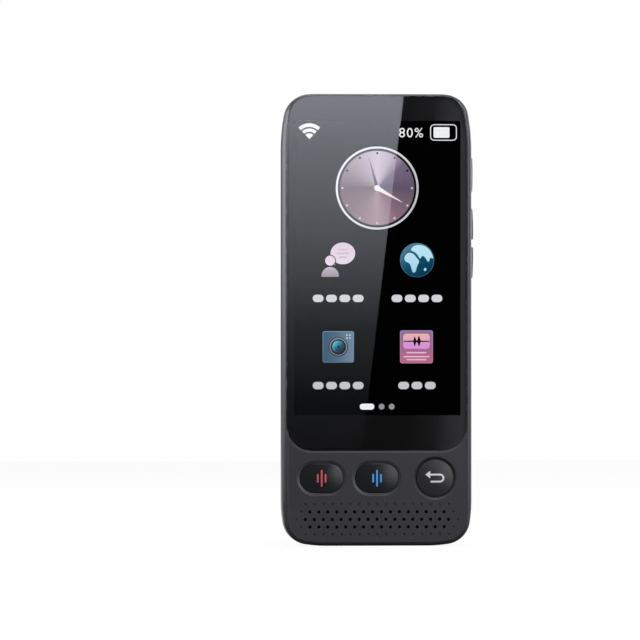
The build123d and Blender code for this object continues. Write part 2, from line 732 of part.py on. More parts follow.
def display_tape():
    """Foam tape ring that holds the glass on the frame's ledge."""
    ring = glass_outline(-TAPE_INSET) - glass_outline(-TAPE_INSET - TAPE_WIDTH)
    return layer(ring, GLASS_REAR, PANEL_REAR)


def display_panel():
    """Display module behind the glass."""
    face = outline(LEDGE + DISPLAY_MARGIN) & above(BAR_TOP + FLEX_SLOT) & below(HEIGHT - DISPLAY_DROP)
    return layer(face, DISPLAY_FRONT, DISPLAY_REAR)


def ribbon(points, x, width):
    """A flat flex ribbon along a path of depth and height, with bent corners."""
    path = FilletPolyline(*points, radius=FLEX_BEND)
    return side_layer(trace(path, line_width=FLEX), x - width / 2, x + width / 2)


def display_flex():
    """Ribbon from the foot of the display, through the plate, to the lower board."""
    start = (DISPLAY_FRONT + DISPLAY_REAR) / 2
    level = BAR_TOP + FLEX_SLOT / 2
    end = SUB_BOARD_REAR + FLEX / 2
    points = [(start, BAR_TOP + FLEX_SLOT), (start, level), (end, level), (end, CHIN - FLEX_END)]
    return ribbon(points, DISPLAY_FLEX_X, FLEX_WIDTH)


def display_flex_slot():
    """Slot in the frame's plate for the display ribbon."""
    level = BAR_TOP + FLEX_SLOT / 2
    return plate(DISPLAY_FLEX_X, level, FLEX_WIDTH + FLEX_SLOT_ROOM, FLEX_SLOT / 2, PLATE_FRONT, PLATE_REAR)


def main_flex():
    """Ribbon from the main board over the battery to the lower board."""
    board = BOARD_REAR + FLEX / 2
    over = BATTERY_REAR + FLEX
    end = SUB_BOARD_REAR + FLEX / 2
    top = (BATTERY_TOP + BOARD_BASE) / 2
    foot = BATTERY_BASE - BATTERY_GAP / 2
    points = [(board, BOARD_BASE + FLEX_END), (board, top), (over, top), (over, foot),
              (end, foot), (end, CHIN - FLEX_END)]
    return ribbon(points, MAIN_FLEX_X, FLEX_WIDTH)


# ---------------------------------------------------------------- boards and battery

def main_board():
    """Main circuit board, on posts behind the display plate."""
    left = Pos(RIB_FACE - BOARD_GAP - REACH / 2, HEIGHT / 2) * Rectangle(REACH, REACH)
    board = layer(outline(BOARD_MARGIN) & above(BOARD_BASE) & left, BOARD_FRONT, BOARD_REAR)
    return board - layer(rounds(board_screw_places(), SCREW_RADIUS + SCREW_FIT), BOARD_FRONT, BOARD_REAR)


def shield_places():
    """Middle, width and height of each shield can on the main board."""
    left = -SIDE + BOARD_MARGIN
    inner = MODULE_SIZE / 2 + WALL
    width = -left - inner - 4 * SCREW_HEAD
    x = -inner - width / 2
    low = BOARD_BASE + BOARD_HEIGHT / 4
    high = BOARD_BASE + 2 * BOARD_HEIGHT / 3
    return [(x, low, width, BOARD_HEIGHT / 3), (x, high, width, BOARD_HEIGHT / 4),
            (-x, low, width, BOARD_HEIGHT / 3)]


def shield_cans():
    """Thin metal cans over the chips."""
    cans = []
    for x, z, width, height in shield_places():
        can = plate(x, z, width, height, BOARD_REAR, BOARD_REAR + SHIELD)
        room = plate(x, z, width - 2 * SHIELD_SHEET, height - 2 * SHIELD_SHEET,
                     BOARD_REAR, BOARD_REAR + SHIELD - SHIELD_SHEET)
        cans.append(can - room)
    return cans


def board_chips():
    """The chips under the shield cans."""
    return [plate(x, z, CHIP_SIZE, CHIP_SIZE, BOARD_REAR, BOARD_REAR + CHIP)
            for x, z, _, _ in shield_places()]


def sub_board():
    """Lower board, with the charging socket, behind the speakers and the key board."""
    holes = rounds(sub_board_screw_places(), SCREW_RADIUS + SCREW_FIT)
    return layer((outline(SUB_BOARD_MARGIN) & below(CHIN)) - holes, SUB_BOARD_FRONT, SUB_BOARD_REAR)


def battery_span():
    """Middle and width of the battery, between the left wall and the side key rib."""
    left = -SIDE + BATTERY_MARGIN
    right = RIB_FACE - BOARD_GAP
    return (left + right) / 2, right - left


def battery():
    """Pouch cell with softened edges."""
    x, width = battery_span()
    height = BATTERY_TOP - BATTERY_BASE
    cell = plate(x, (BATTERY_TOP + BATTERY_BASE) / 2, width, height, BATTERY_FRONT, BATTERY_REAR)
    return fillet(cell.edges().filter_by(Axis.Y, reverse=True), BATTERY_ROUND)


def battery_pad():
    """Adhesive pad between the battery and the plate."""
    x, _ = battery_span()
    return plate(x, (BATTERY_TOP + BATTERY_BASE) / 2, PAD_WIDTH, PAD_HEIGHT, PLATE_REAR, BATTERY_FRONT)


def battery_lead():
    """Flat lead from the battery's head to the main board."""
    x, width = battery_span()
    low = BATTERY_TOP
    high = BOARD_BASE + FLEX_END
    return plate(x + width / 4, (low + high) / 2, LEAD_WIDTH, high - low, BOARD_REAR, BOARD_REAR + FLEX)


def vibration_motor():
    """Coin motor on the main board."""
    x = -shield_places()[0][0]
    return drum(x, HEIGHT - MOTOR_DROP, MOTOR_RADIUS, BOARD_REAR, BOARD_REAR + MOTOR)


def wifi_antenna():
    """Antenna film on the inside of the rear shell."""
    z = HEIGHT - REAR_ROUND - WALL - ANTENNA_WIDTH / 2
    return plate(ANTENNA_X, z, ANTENNA_LENGTH, ANTENNA_WIDTH, REAR - WALL - ANTENNA, REAR - WALL)


# ---------------------------------------------------------------- sound

def speaker_frame(x):
    """Speaker basket: open at the front, with a step for the diaphragm."""
    rear = SPEAKER_FRONT + SPEAKER_DEPTH
    body = plate(x, SPEAKER_Z, SPEAKER_LENGTH, SPEAKER_WIDTH, SPEAKER_FRONT, rear)
    wide = 2 * SPEAKER_RIM
    body -= plate(x, SPEAKER_Z, SPEAKER_LENGTH - wide, SPEAKER_WIDTH - wide,
                  SPEAKER_FRONT, SPEAKER_FRONT + DIAPHRAGM_SEAT)
    return body - plate(x, SPEAKER_Z, SPEAKER_LENGTH - 2 * wide, SPEAKER_WIDTH - 2 * wide,
                        SPEAKER_FRONT, rear - SPEAKER_BACK)


def speaker_diaphragm(x):
    """Speaker diaphragm with a raised middle."""
    seat = SPEAKER_FRONT + DIAPHRAGM_SEAT
    wide = 2 * (SPEAKER_RIM + DIAPHRAGM_FIT)
    sheet = plate(x, SPEAKER_Z, SPEAKER_LENGTH - wide, SPEAKER_WIDTH - wide, seat - DIAPHRAGM, seat)
    return sheet + plate(x, SPEAKER_Z, MAGNET_LENGTH, MAGNET_WIDTH, seat - 2 * DIAPHRAGM, seat - DIAPHRAGM)


def speaker_magnet(x):
    """Speaker magnet on the back of the basket."""
    rear = SPEAKER_FRONT + SPEAKER_DEPTH - SPEAKER_BACK
    return plate(x, SPEAKER_Z, MAGNET_LENGTH, MAGNET_WIDTH, rear - MAGNET, rear)


def speaker_gaskets():
    """Foam rings between the speakers and the mesh."""
    rings = []
    wide = 2 * SPEAKER_RIM
    ring = Rectangle(SPEAKER_LENGTH, SPEAKER_WIDTH)
    ring -= Rectangle(SPEAKER_LENGTH - wide, SPEAKER_WIDTH - wide)
    for x in (-SPEAKER_X, SPEAKER_X):
        rings.append(layer(Pos(x, SPEAKER_Z) * ring, SPEAKER_FRONT - GASKET, SPEAKER_FRONT))
    return rings


def grille_mesh():
    """Dust mesh behind the grille."""
    face = outline(LEDGE + MESH_MARGIN) & below(GRILLE_TOP + MESH_MARGIN)
    return layer(face, PANEL_REAR, PANEL_REAR + MESH)


def front_microphone():
    """Microphone on the lower board, behind the middle of the grille."""
    return plate(0, FRONT_MIC_Z, MIC_LENGTH, MIC_LENGTH, SUB_BOARD_FRONT - MIC, SUB_BOARD_FRONT)


def front_mic_boot():
    """Rubber boot that leads sound from the grille to the front microphone."""
    ring = Pos(0, FRONT_MIC_Z) * (Circle(FRONT_BOOT_RADIUS) - Circle(FRONT_BOOT_RADIUS - MIC_BOOT_WALL))
    return layer(ring, PANEL_REAR + MESH, SUB_BOARD_FRONT - MIC)


def rear_mic_insert():
    """Perforated insert in the rear slot, seated on the shell's boss, with a rib across its face."""
    seat = REAR - WALL - SLOT_BOSS
    flange = Rectangle(SLOT_LENGTH + 2 * INSERT_LIP, SLOT_WIDTH + INSERT_LIP)
    insert = layer(Pos(0, SLOT_Z) * flange, seat - INSERT_FLANGE, seat)
    room = 2 * INSERT_FIT
    plug = RectangleRounded(SLOT_LENGTH - room, SLOT_WIDTH - room, SLOT_CORNER - INSERT_FIT)
    face = REAR - INSERT_SUNK
    insert += layer(Pos(0, SLOT_Z) * plug, seat, face)
    insert += layer(Pos(0, SLOT_Z - RIB_DROP) * SlotOverall(RIB_LENGTH, RIB_WIDTH), face, face + RIB_RISE)
    ports = [(step * MIC_PORT_PITCH, SLOT_Z + MIC_PORT_LIFT) for step in (-1, 0, 1)]
    return insert - layer(rounds(ports, MIC_PORT / 2), seat - INSERT_FLANGE, face + RIB_RISE)


def rear_mic_boot():
    """Rubber boot from the insert to the rear microphone."""
    seat = REAR - WALL - SLOT_BOSS - INSERT_FLANGE
    wall = 2 * MIC_BOOT_WALL
    ring = Rectangle(MIC_LENGTH, MIC_WIDTH - wall) - Rectangle(MIC_LENGTH - wall, MIC_WIDTH - 2 * wall)
    return layer(Pos(0, SLOT_Z) * ring, BOARD_REAR + MIC, seat)


def rear_microphone():
    """Rear microphone on the main board."""
    return plate(0, SLOT_Z, MIC_LENGTH, MIC_WIDTH, BOARD_REAR, BOARD_REAR + MIC)


# ---------------------------------------------------------------- charging socket

def usb_section(grow, low, high):
    """The socket's long round section, filled over a stretch of height."""
    shape = SlotOverall(USB_WIDTH + 2 * grow, USB_HEIGHT + 2 * grow)
    return extrude(Plane((0, USB_Y, low)) * shape, amount=high - low)


def usb_shell():
    """Steel shell of the charging socket."""
    top = USB_SUNK + USB_LENGTH
    return usb_section(0, USB_SUNK, top) - usb_section(-USB_SHEET, USB_SUNK, top)


def usb_tongue():
    """Plastic core of the socket, with the contact tongue."""
    top = USB_SUNK + USB_LENGTH
    core = usb_section(-USB_SHEET, top - USB_CORE, top)
    low = USB_SUNK + USB_TONGUE_SUNK
    tongue = Plane((0, USB_Y, low)) * RectangleRounded(USB_TONGUE_WIDTH, USB_TONGUE, USB_TONGUE / 4)
    return core + extrude(tongue, amount=top - USB_CORE - low)


# ---------------------------------------------------------------- camera

def camera_module():
    """Image sensor housing on the main board."""
    return plate(0, CAMERA_Z, MODULE_SIZE, MODULE_SIZE, BOARD_REAR, MODULE_REAR)


def lens_barrel():
    """Lens barrel with a stepped mouth."""
    barrel = drum(0, CAMERA_Z, BARREL_RADIUS, MODULE_REAR, BARREL_REAR)
    barrel -= drum(0, CAMERA_Z, LENS_RADIUS + CAMERA_FIT, BARREL_REAR - LENS - LENS_BULGE, BARREL_REAR)
    return barrel - drum(0, CAMERA_Z, IRIS_RADIUS, MODULE_REAR, BARREL_REAR)


def front_lens():
    """Front lens, flat inside and domed outside."""
    seat = BARREL_REAR - LENS - LENS_BULGE
    dome = (LENS_RADIUS ** 2 + LENS_BULGE ** 2) / (2 * LENS_BULGE)
    lens = drum(0, CAMERA_Z, LENS_RADIUS, seat, seat + LENS + LENS_BULGE)
    return lens & Pos(0, seat + LENS + LENS_BULGE - dome, CAMERA_Z) * Sphere(dome)


def camera_trim():
    """Spun metal disc that slopes down to the lens."""
    floor = MOUND_REAR - TRIM_DEPTH
    radius = CAMERA_BORE - CAMERA_FIT
    top = MOUND_REAR + RING_RISE - WINDOW_SUNK - WINDOW - WINDOW_GAP
    points = [(TRIM_HOLE, floor), (radius, floor), (radius, top), (TRIM_HOLE, floor + TRIM_FLOOR)]
    return turned(points, 0, CAMERA_Z)


def camera_window():
    """Flat window over the camera, held in the ring."""
    rear = MOUND_REAR + RING_RISE - WINDOW_SUNK
    return drum(0, CAMERA_Z, CAMERA_BORE - CAMERA_FIT, rear - WINDOW, rear)


def camera_ring():
    """Polished ring round the window, seated in the mound."""
    rear = MOUND_REAR + RING_RISE
    ring = drum(0, CAMERA_Z, RING_RADIUS, MOUND_REAR - RING_SEAT, rear)
    ring -= drum(0, CAMERA_Z, CAMERA_BORE, MOUND_REAR - RING_SEAT, rear)
    return fillet(ring.faces().sort_by(Axis.Y)[-1].edges(), RING_ROUND)


# ---------------------------------------------------------------- assembly

def assembly():
    """Every node's name with its shapes."""
    nodes = {
        "mid_frame": [mid_frame()],
        "rear_shell": [rear_shell()],
        "front_panel": [front_panel()],
        "cover_glass": [cover_glass()],
        "display_tape": [display_tape()],
        "display_panel": [display_panel()],
        "display_flex": [display_flex()],
        "key_switches": key_switches(),
        "key_board": [key_board()],
        "side_switches": side_switches(),
        "side_key_strip": [side_key_strip()],
        "main_board": [main_board()],
        "board_chips": board_chips(),
        "shield_cans": shield_cans(),
        "sub_board": [sub_board()],
        "main_flex": [main_flex()],
        "battery": [battery()],
        "battery_pad": [battery_pad()],
        "battery_lead": [battery_lead()],
        "vibration_motor": [vibration_motor()],
        "wifi_antenna": [wifi_antenna()],
        "speaker_gaskets": speaker_gaskets(),
        "grille_mesh": [grille_mesh()],
        "front_microphone": [front_microphone()],
        "front_mic_boot": [front_mic_boot()],
        "rear_mic_insert": [rear_mic_insert()],
        "rear_mic_boot": [rear_mic_boot()],
        "rear_microphone": [rear_microphone()],
        "usb_shell": [usb_shell()],
        "usb_tongue": [usb_tongue()],
        "camera_module": [camera_module()],
        "lens_barrel": [lens_barrel()],
        "front_lens": [front_lens()],
        "camera_trim": [camera_trim()],
        "camera_window": [camera_window()],
        "camera_ring": [camera_ring()],
    }
    for name, x, shape, dome, _ in FRONT_KEYS:
        nodes[f"{name}_key"] = [front_key(x, shape, dome)]
        nodes[f"{name}_plunger"] = [front_plunger(x)]
    for name, z, length, rise_top, rise_base in side_keys():
        nodes[f"{name}_key"] = [side_key(z, length, rise_top, rise_base)]
        nodes[f"{name}_plunger"] = [side_plunger(z)]
    for name, x in (("left", -SPEAKER_X), ("right", SPEAKER_X)):
        nodes[f"{name}_speaker_frame"] = [speaker_frame(x)]
        nodes[f"{name}_speaker_diaphragm"] = [speaker_diaphragm(x)]
        nodes[f"{name}_speaker_magnet"] = [speaker_magnet(x)]
    main_screws = [screw(x, z, BOARD_REAR, BOARD + PLATE) for x, z in board_screw_places()]
    sub_screws = [screw(x, z, SUB_BOARD_REAR, BOARD + SUB_LEDGE_DEPTH / 2)
                  for x, z in sub_board_screw_places()]
    nodes["board_screws"] = main_screws + sub_screws
    nodes["key_board_screws"] = [screw(x, z, KEY_BOARD_REAR, 2 * BOARD) for x, z in boss_places()]
    return nodes


os.makedirs("parts", exist_ok=True)
for node, shapes in assembly().items():
    solids = [solid for shape in shapes for solid in shape.solids()]
    export_step(solids[0] if len(solids) == 1 else Compound(solids), f"parts/{node}.step")
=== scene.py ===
from math import cos, hypot, pi, radians, sin, sqrt

import bmesh
import bpy
from mathutils import Matrix, Vector


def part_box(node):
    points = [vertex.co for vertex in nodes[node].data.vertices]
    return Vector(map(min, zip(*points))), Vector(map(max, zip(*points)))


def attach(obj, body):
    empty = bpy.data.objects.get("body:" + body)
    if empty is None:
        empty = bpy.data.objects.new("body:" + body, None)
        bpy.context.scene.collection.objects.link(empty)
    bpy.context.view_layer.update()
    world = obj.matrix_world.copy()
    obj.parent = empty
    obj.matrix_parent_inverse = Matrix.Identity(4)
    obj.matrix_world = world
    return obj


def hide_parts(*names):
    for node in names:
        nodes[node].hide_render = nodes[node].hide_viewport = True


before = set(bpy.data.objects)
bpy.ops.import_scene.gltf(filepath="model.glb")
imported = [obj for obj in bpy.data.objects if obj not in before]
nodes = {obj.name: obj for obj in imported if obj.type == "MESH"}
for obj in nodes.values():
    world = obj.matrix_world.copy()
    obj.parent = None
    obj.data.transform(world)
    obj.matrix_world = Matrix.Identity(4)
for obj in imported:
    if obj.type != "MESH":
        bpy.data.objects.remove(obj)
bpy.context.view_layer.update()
scene = bpy.context.scene

# ---------------- frame and rear shell
# Two mouldings in glass-filled plastic, sprayed with one dark satin coat. The tongue of the
# rear shell snaps into the frame all round, and the camera mound is part of the shell.

MM = 0.001
CASING_COLOUR = (0.062, 0.063, 0.069, 1)
# Edge colour: paler paint along the casing's edges, partly wear and partly a painted highlight.
CASING_EDGE_WEAR_AND_HIGHLIGHT = (0.110, 0.112, 0.120, 1)
EDGE_WIDTH = 0.25
EDGE_COSINES = (0.995, 0.90)
DRIFT_SCALE = 45.0
GRAIN_RANGE = (0.3, 0.7)
MIX_SHARE, MIX_FIRST, MIX_SECOND, MIXED = 0, 6, 7, 2    # colour sockets of a Mix node
SOCKET_KINDS = {
    float: "NodeSocketFloat",
    int: "NodeSocketInt",
    tuple: "NodeSocketVector",
    bpy.types.Material: "NodeSocketMaterial",
}


def link(tree, value, socket):
    """Links an output to a socket: a node stands for its first output."""
    tree.links.new(value.outputs[0] if isinstance(value, bpy.types.Node) else value, socket)


def feed(tree, sockets, **values):
    """Links outputs to sockets by name."""
    for name, value in values.items():
        link(tree, value, sockets[name.replace("_", " ")])


def put(tree, kind, given=None, **settings):
    """A new node with its settings, its inputs given as plain values, as nodes or as outputs."""
    node = tree.nodes.new(kind)
    for name, value in settings.items():
        setattr(node, name, value)
    for name, value in (given or {}).items():
        if isinstance(value, (bpy.types.Node, bpy.types.NodeSocket)):
            link(tree, value, node.inputs[name])
        else:
            node.inputs[name].default_value = value
    return node


def sums(tree, operation, *given):
    """A Math node on what is given."""
    return put(tree, "ShaderNodeMath", dict(enumerate(given)), operation=operation)


def vectors(tree, operation, *given):
    """A Vector Math node on what is given."""
    return put(tree, "ShaderNodeVectorMath", dict(enumerate(given)), operation=operation)


def remap(tree, value, low, high, to_low=0.0, to_high=1.0):
    """A value brought from one range to another."""
    return put(tree, "ShaderNodeMapRange", {"Value": value, "From Min": low, "From Max": high,
                                            "To Min": to_low, "To Max": to_high})


def start_group(name, kind, given, results):
    """An empty node group with named inputs and outputs, and the sockets inside it."""
    tree = bpy.data.node_groups.new(name, kind)
    for label, value in given.items():
        sort = SOCKET_KINDS[type(value)]
        tree.interface.new_socket(name=label, in_out="INPUT", socket_type=sort).default_value = value
    for label, sort in results.items():
        tree.interface.new_socket(name=label, in_out="OUTPUT", socket_type=sort)
    return tree, put(tree, "NodeGroupInput").outputs, put(tree, "NodeGroupOutput").inputs


def start_pattern(name, given, *results):
    """An empty shader group whose outputs are numbers."""
    return start_group(name, "ShaderNodeTree", given, {label: "NodeSocketFloat" for label in results})


def where(tree):
    """Each point's own place."""
    return put(tree, "ShaderNodeTexCoord").outputs["Object"]


def cells_of(tree, given):
    """The scale of a pattern whose pitch is in millimetres."""
    return sums(tree, "DIVIDE", 1 / MM, given["Pitch"])


def make_fine_grain():
    """Grain of a moulded or sprayed surface: its height, and a slow drift of its tone."""
    tree, given, result = start_pattern("fine_grain", {"Pitch": 0.1, "Drift": 0.05}, "Height", "Tone")
    place = where(tree)
    grain = put(tree, "ShaderNodeTexNoise",
                {"Vector": place, "Scale": cells_of(tree, given), "Detail": 3.0, "Roughness": 0.6})
    slow = put(tree, "ShaderNodeTexNoise", {"Vector": place, "Scale": DRIFT_SCALE, "Detail": 1.0})
    swing = sums(tree, "SUBTRACT", slow, 0.5)
    feed(tree, result, Height=grain, Tone=sums(tree, "MULTIPLY_ADD", swing, given["Drift"], 1.0))
    return tree


def make_worn_and_lit_edges():
    """Where a surface turns sharply: 1 on an edge, 0 on the flat. It lays paler paint on edges, partly wear
    and partly a painted highlight.
    """
    tree, given, result = start_pattern("worn_and_lit_edges", {"Width": 0.3}, "Mask")
    width = sums(tree, "MULTIPLY", given["Width"], MM)
    rounded = put(tree, "ShaderNodeBevel", {"Radius": width}, samples=4)
    plain = put(tree, "ShaderNodeNewGeometry").outputs["Normal"]
    match = vectors(tree, "DOT_PRODUCT", rounded, plain).outputs["Value"]
    feed(tree, result, Mask=remap(tree, match, *EDGE_COSINES))
    return tree


fine_grain = make_fine_grain()
worn_and_lit_edges = make_worn_and_lit_edges()


def principled(name, colour, roughness, **values):
    """A new material with one Principled shader, and its tree and shader."""
    made = bpy.data.materials.new(name)
    made.use_nodes = True
    shader = made.node_tree.nodes["Principled BSDF"]
    shader.inputs["Base Color"].default_value = colour
    shader.inputs["Roughness"].default_value = roughness
    for socket, value in values.items():
        shader.inputs[socket.replace("_", " ")].default_value = value
    return made, made.node_tree, shader


def toned(tree, colour, tone):
    """A colour made lighter or darker by a tone."""
    return put(tree, "ShaderNodeVectorMath", {0: colour[:3], "Scale": tone}, operation="SCALE")


def raised(tree, relief, height):
    """A bump as deep as the relief, in millimetres."""
    return put(tree, "ShaderNodeBump", {"Strength": 1.0, "Distance": relief * MM, "Height": height})


def grained(name, colour, roughness, pitch, relief, drift=0.1, spread=0.08, edge=None, **values):
    """A material with grain: pitch and relief in millimetres, and perhaps paler edges, partly wear and partly
    a painted highlight.
    """
    made, tree, shader = principled(name, colour, roughness, **values)
    grain = put(tree, "ShaderNodeGroup", {"Pitch": pitch, "Drift": drift}, node_tree=fine_grain).outputs
    paint = toned(tree, colour, grain["Tone"])
    if edge:
        mask = put(tree, "ShaderNodeGroup", {"Width": EDGE_WIDTH}, node_tree=worn_and_lit_edges).outputs["Mask"]
        paint = put(tree, "ShaderNodeMix", {MIX_SHARE: mask, MIX_FIRST: paint, MIX_SECOND: edge},
                    data_type="RGBA").outputs[MIXED]
    rough = remap(tree, grain["Height"], *GRAIN_RANGE, roughness - spread / 2, roughness + spread / 2)
    feed(tree, shader.inputs, Base_Color=paint, Roughness=rough,
         Normal=raised(tree, relief, grain["Height"]))
    return made


def dress(made, *names):
    """Gives nodes of the frame their material."""
    for name in names:
        for slot in nodes[name].material_slots:
            slot.material = made


casing_coat = grained("casing_coat", CASING_COLOUR, 0.36, 0.05, 0.002, edge=CASING_EDGE_WEAR_AND_HIGHLIGHT, Metallic=0.7)
dress(casing_coat, "mid_frame", "rear_shell")

# ---------------- key panel
# A moulded panel glued into the frame's pocket below the glass, left with the grain of its
# mould. It holds the key dishes, the grille holes and the posts of the key board.

PANEL_COLOUR = (0.0182, 0.0168, 0.0236, 1)
# Edge colour: paler paint along the panel's edges, partly wear and partly a painted highlight.
PANEL_EDGE_WEAR_AND_HIGHLIGHT = (0.050, 0.049, 0.054, 1)

dress(grained("panel_grain", PANEL_COLOUR, 0.50, 0.16, 0.012, drift=0.2, edge=PANEL_EDGE_WEAR_AND_HIGHLIGHT), "front_panel")

# ---------------- dust mesh
# Fine black mesh glued behind the grille to keep dust out of the speakers: thin threads laid
# in two crossing layers, a little wider than the field of holes.

THREAD = 0.05
THREAD_PITCH = 0.10
THREAD_SIDES = 6
MESH_WIDTH = 47.0
MESH_HEIGHT = 7.6
HOLES_Z = 7.95
NOWHERE = (0.0, 0.0, 0.0)
TO_LEVEL = (0.0, pi / 2, 0.0)


def millimetres(name):
    """Lowest and highest corner of a node of the frame, in millimetres."""
    low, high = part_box(name)
    return low / MM, high / MM


def start_shape(name, **given):
    """An empty geometry tree with a place and a material, and the sizes given."""
    return start_group(name, "GeometryNodeTree", {**given, "Place": NOWHERE, "Material": casing_coat},
                       {"Geometry": "NodeSocketGeometry"})


def copied(tree, points, shape, **more):
    """A real copy of a shape on every point."""
    copies = put(tree, "GeometryNodeInstanceOnPoints", {"Points": points, "Instance": shape, **more})
    return put(tree, "GeometryNodeRealizeInstances", {"Geometry": copies})


def end_shape(tree, given, result, shape, turn=NOWHERE):
    """Turns, places and paints what a geometry tree has made."""
    placed = put(tree, "GeometryNodeTransform",
                 {"Geometry": shape, "Translation": given["Place"], "Rotation": turn})
    real = put(tree, "GeometryNodeRealizeInstances", {"Geometry": placed})
    painted = put(tree, "GeometryNodeSetMaterial", {"Geometry": real, "Material": given["Material"]})
    feed(tree, result, Geometry=painted)
    return tree


def make_row(name, solid, **sizes):
    """A row of one solid along X about the origin, by count and pitch, then turned and placed."""
    tree, given, result = start_shape(name, Count=10, Pitch=0.001, Turn=NOWHERE, **sizes)
    one = put(tree, solid, {size: given[size] for size in sizes})
    span = sums(tree, "MULTIPLY", sums(tree, "SUBTRACT", given["Count"], 1.0), given["Pitch"])
    start = put(tree, "ShaderNodeCombineXYZ", {"X": sums(tree, "MULTIPLY", span, -0.5)})
    step = put(tree, "ShaderNodeCombineXYZ", {"X": given["Pitch"]})
    points = put(tree, "GeometryNodeMeshLine",
                 {"Count": given["Count"], "Start Location": start, "Offset": step})
    return end_shape(tree, given, result, copied(tree, points, one), given["Turn"])


def new_piece(name, data):
    """A new object that holds a mesh, a curve or a text."""
    piece = bpy.data.objects.new(name, data)
    scene.collection.objects.link(piece)
    return piece


def plain_mesh(holder):
    """The finished mesh of an object that only served to make it."""
    depsgraph = bpy.context.evaluated_depsgraph_get()
    mesh = bpy.data.meshes.new_from_object(holder.evaluated_get(depsgraph))
    bpy.data.objects.remove(holder)
    return mesh


def shaped(name, shape):
    """A new piece from a worked mesh."""
    mesh = bpy.data.meshes.new(name)
    shape.to_mesh(mesh)
    shape.free()
    return new_piece(name, mesh)


def grown(name, tree, **given):
    """The plain mesh that a geometry tree makes from its inputs, as a new piece."""
    holder = new_piece(name, bpy.data.meshes.new(name))
    modifier = holder.modifiers.new("shape", "NODES")
    modifier.node_group = tree
    for item in tree.interface.items_tree:
        if item.in_out == "INPUT" and item.name in given:
            modifier[item.identifier] = given[item.name]
    return new_piece(name, plain_mesh(holder))


def joined(name, pieces):
    """Several mesh pieces of one material as one piece."""
    merged = bmesh.new()
    for piece in pieces:
        merged.from_mesh(piece.data)
    for face in merged.faces:
        face.material_index = 0
    whole = shaped(name, merged)
    whole.data.materials.append(pieces[0].data.materials[-1])
    for piece in pieces:
        bpy.data.objects.remove(piece)
    return whole


def fit(piece, body, made=None):
    """Fixes a finished piece to the body that carries it, and perhaps paints it."""
    if made:
        piece.data.materials.clear()
        piece.data.materials.append(made)
    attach(piece, body)


def thread_layer(name, across, length, layer, turn):
    """One layer of the mesh, counted from the front."""
    y = mesh_low.y + (layer + 0.5) * THREAD
    return grown(name, threads, Count=int(across / THREAD_PITCH), Depth=length * MM, Turn=turn,
                 Place=(0.0, y * MM, HOLES_Z * MM), Pitch=THREAD_PITCH * MM, Radius=THREAD / 2 * MM,
                 Vertices=THREAD_SIDES, Material=mesh_black)


mesh_black = grained("mesh_black", (0.006, 0.006, 0.007, 1), 0.7, 0.05, 0.002)
threads = make_row("threads", "GeometryNodeMeshCylinder", Vertices=6, Radius=0.0001, Depth=0.01)
mesh_low = millimetres("grille_mesh")[0]
dust_mesh = joined("dust_mesh", [thread_layer("upright_threads", MESH_WIDTH, MESH_HEIGHT, 0, NOWHERE),
                                 thread_layer("level_threads", MESH_HEIGHT, MESH_WIDTH, 1, TO_LEVEL)])
fit(dust_mesh, "device")
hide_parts("grille_mesh")

# ---------------- front keys
# Three moulded keys with domed faces, high gloss on the two talk keys and satin on the round
# one. The marks are printed on the domes: three bars for each side of the talk, and a return.

TALK_COLOUR = (0.012, 0.013, 0.015, 1)
BACK_COLOUR = (0.020, 0.020, 0.022, 1)
# Edge colour: paler paint along the edges of keys and small mouldings, partly wear and partly a painted
# highlight.
KEY_EDGE_WEAR_AND_HIGHLIGHT = (0.045, 0.046, 0.050, 1)
TALK_DOME = 40.0
BACK_DOME = 26.0
INK = 0.02
INK_DEPTH = 0.06
INK_STEP = 0.4
INK_STEPS = 10
BAR_WIDTH = 0.52
BAR_PITCH = 1.17
LONG_BAR = 5.0
SHORT_BAR = 2.6


def srgb(red, green, blue):
    """The linear colour of three display values from 0 to 255."""
    shares = (red / 255, green / 255, blue / 255)
    return (*[s / 12.92 if s < 0.04045 else ((s + 0.055) / 1.055) ** 2.4 for s in shares], 1)


def arc(x, z, radius, start, end, steps=24):
    """Points of an arc about (x, z), angles in degrees from the right."""
    turns = [radians(start + (end - start) * step / steps) for step in range(steps + 1)]
    return [(x + radius * cos(t), z + radius * sin(t)) for t in turns]


def circle(x, z, radius, steps=64):
    """A closed circle."""
    return arc(x, z, radius, 0, 360, steps)[:-1]


def rounded_box(x, z, width, height, corner):
    """A rectangle about (x, z) with round corners."""
    loop = []
    for start, right, up in ((0, 1, 1), (90, -1, 1), (180, -1, -1), (270, 1, -1)):
        corner_x = x + right * (width / 2 - corner)
        corner_z = z + up * (height / 2 - corner)
        loop += arc(corner_x, corner_z, corner, start, start + 90, 6)
    return loop


def stood(y):
    """Turns millimetres of a flat drawing into metres upright at a depth."""
    return Matrix.Translation((0, y * MM, 0)) @ Matrix.Rotation(pi / 2, 4, "X") @ Matrix.Scale(MM, 4)


def slab(name, loops, front, rear):
    """A thin plate seen from the front, bounded by closed loops of (x, z), in millimetres."""
    curve = bpy.data.curves.new(name, "CURVE")
    curve.dimensions = "2D"
    curve.fill_mode = "BOTH"
    curve.extrude = (rear - front) / 2
    for loop in loops:
        spline = curve.splines.new("POLY")
        spline.points.add(len(loop) - 1)
        for point, (x, z) in zip(spline.points, loop):
            point.co = (x, z, 0, 1)
        spline.use_cyclic_u = True
    mesh = plain_mesh(new_piece(name, curve))
    solid = bmesh.new()
    solid.from_mesh(mesh)
    bmesh.ops.remove_doubles(solid, verts=solid.verts, dist=1e-4)
    bmesh.ops.recalc_face_normals(solid, faces=solid.faces)
    bmesh.ops.transform(solid, matrix=stood((front + rear) / 2), verts=solid.verts)
    solid.to_mesh(mesh)
    solid.free()
    return new_piece(name, mesh)


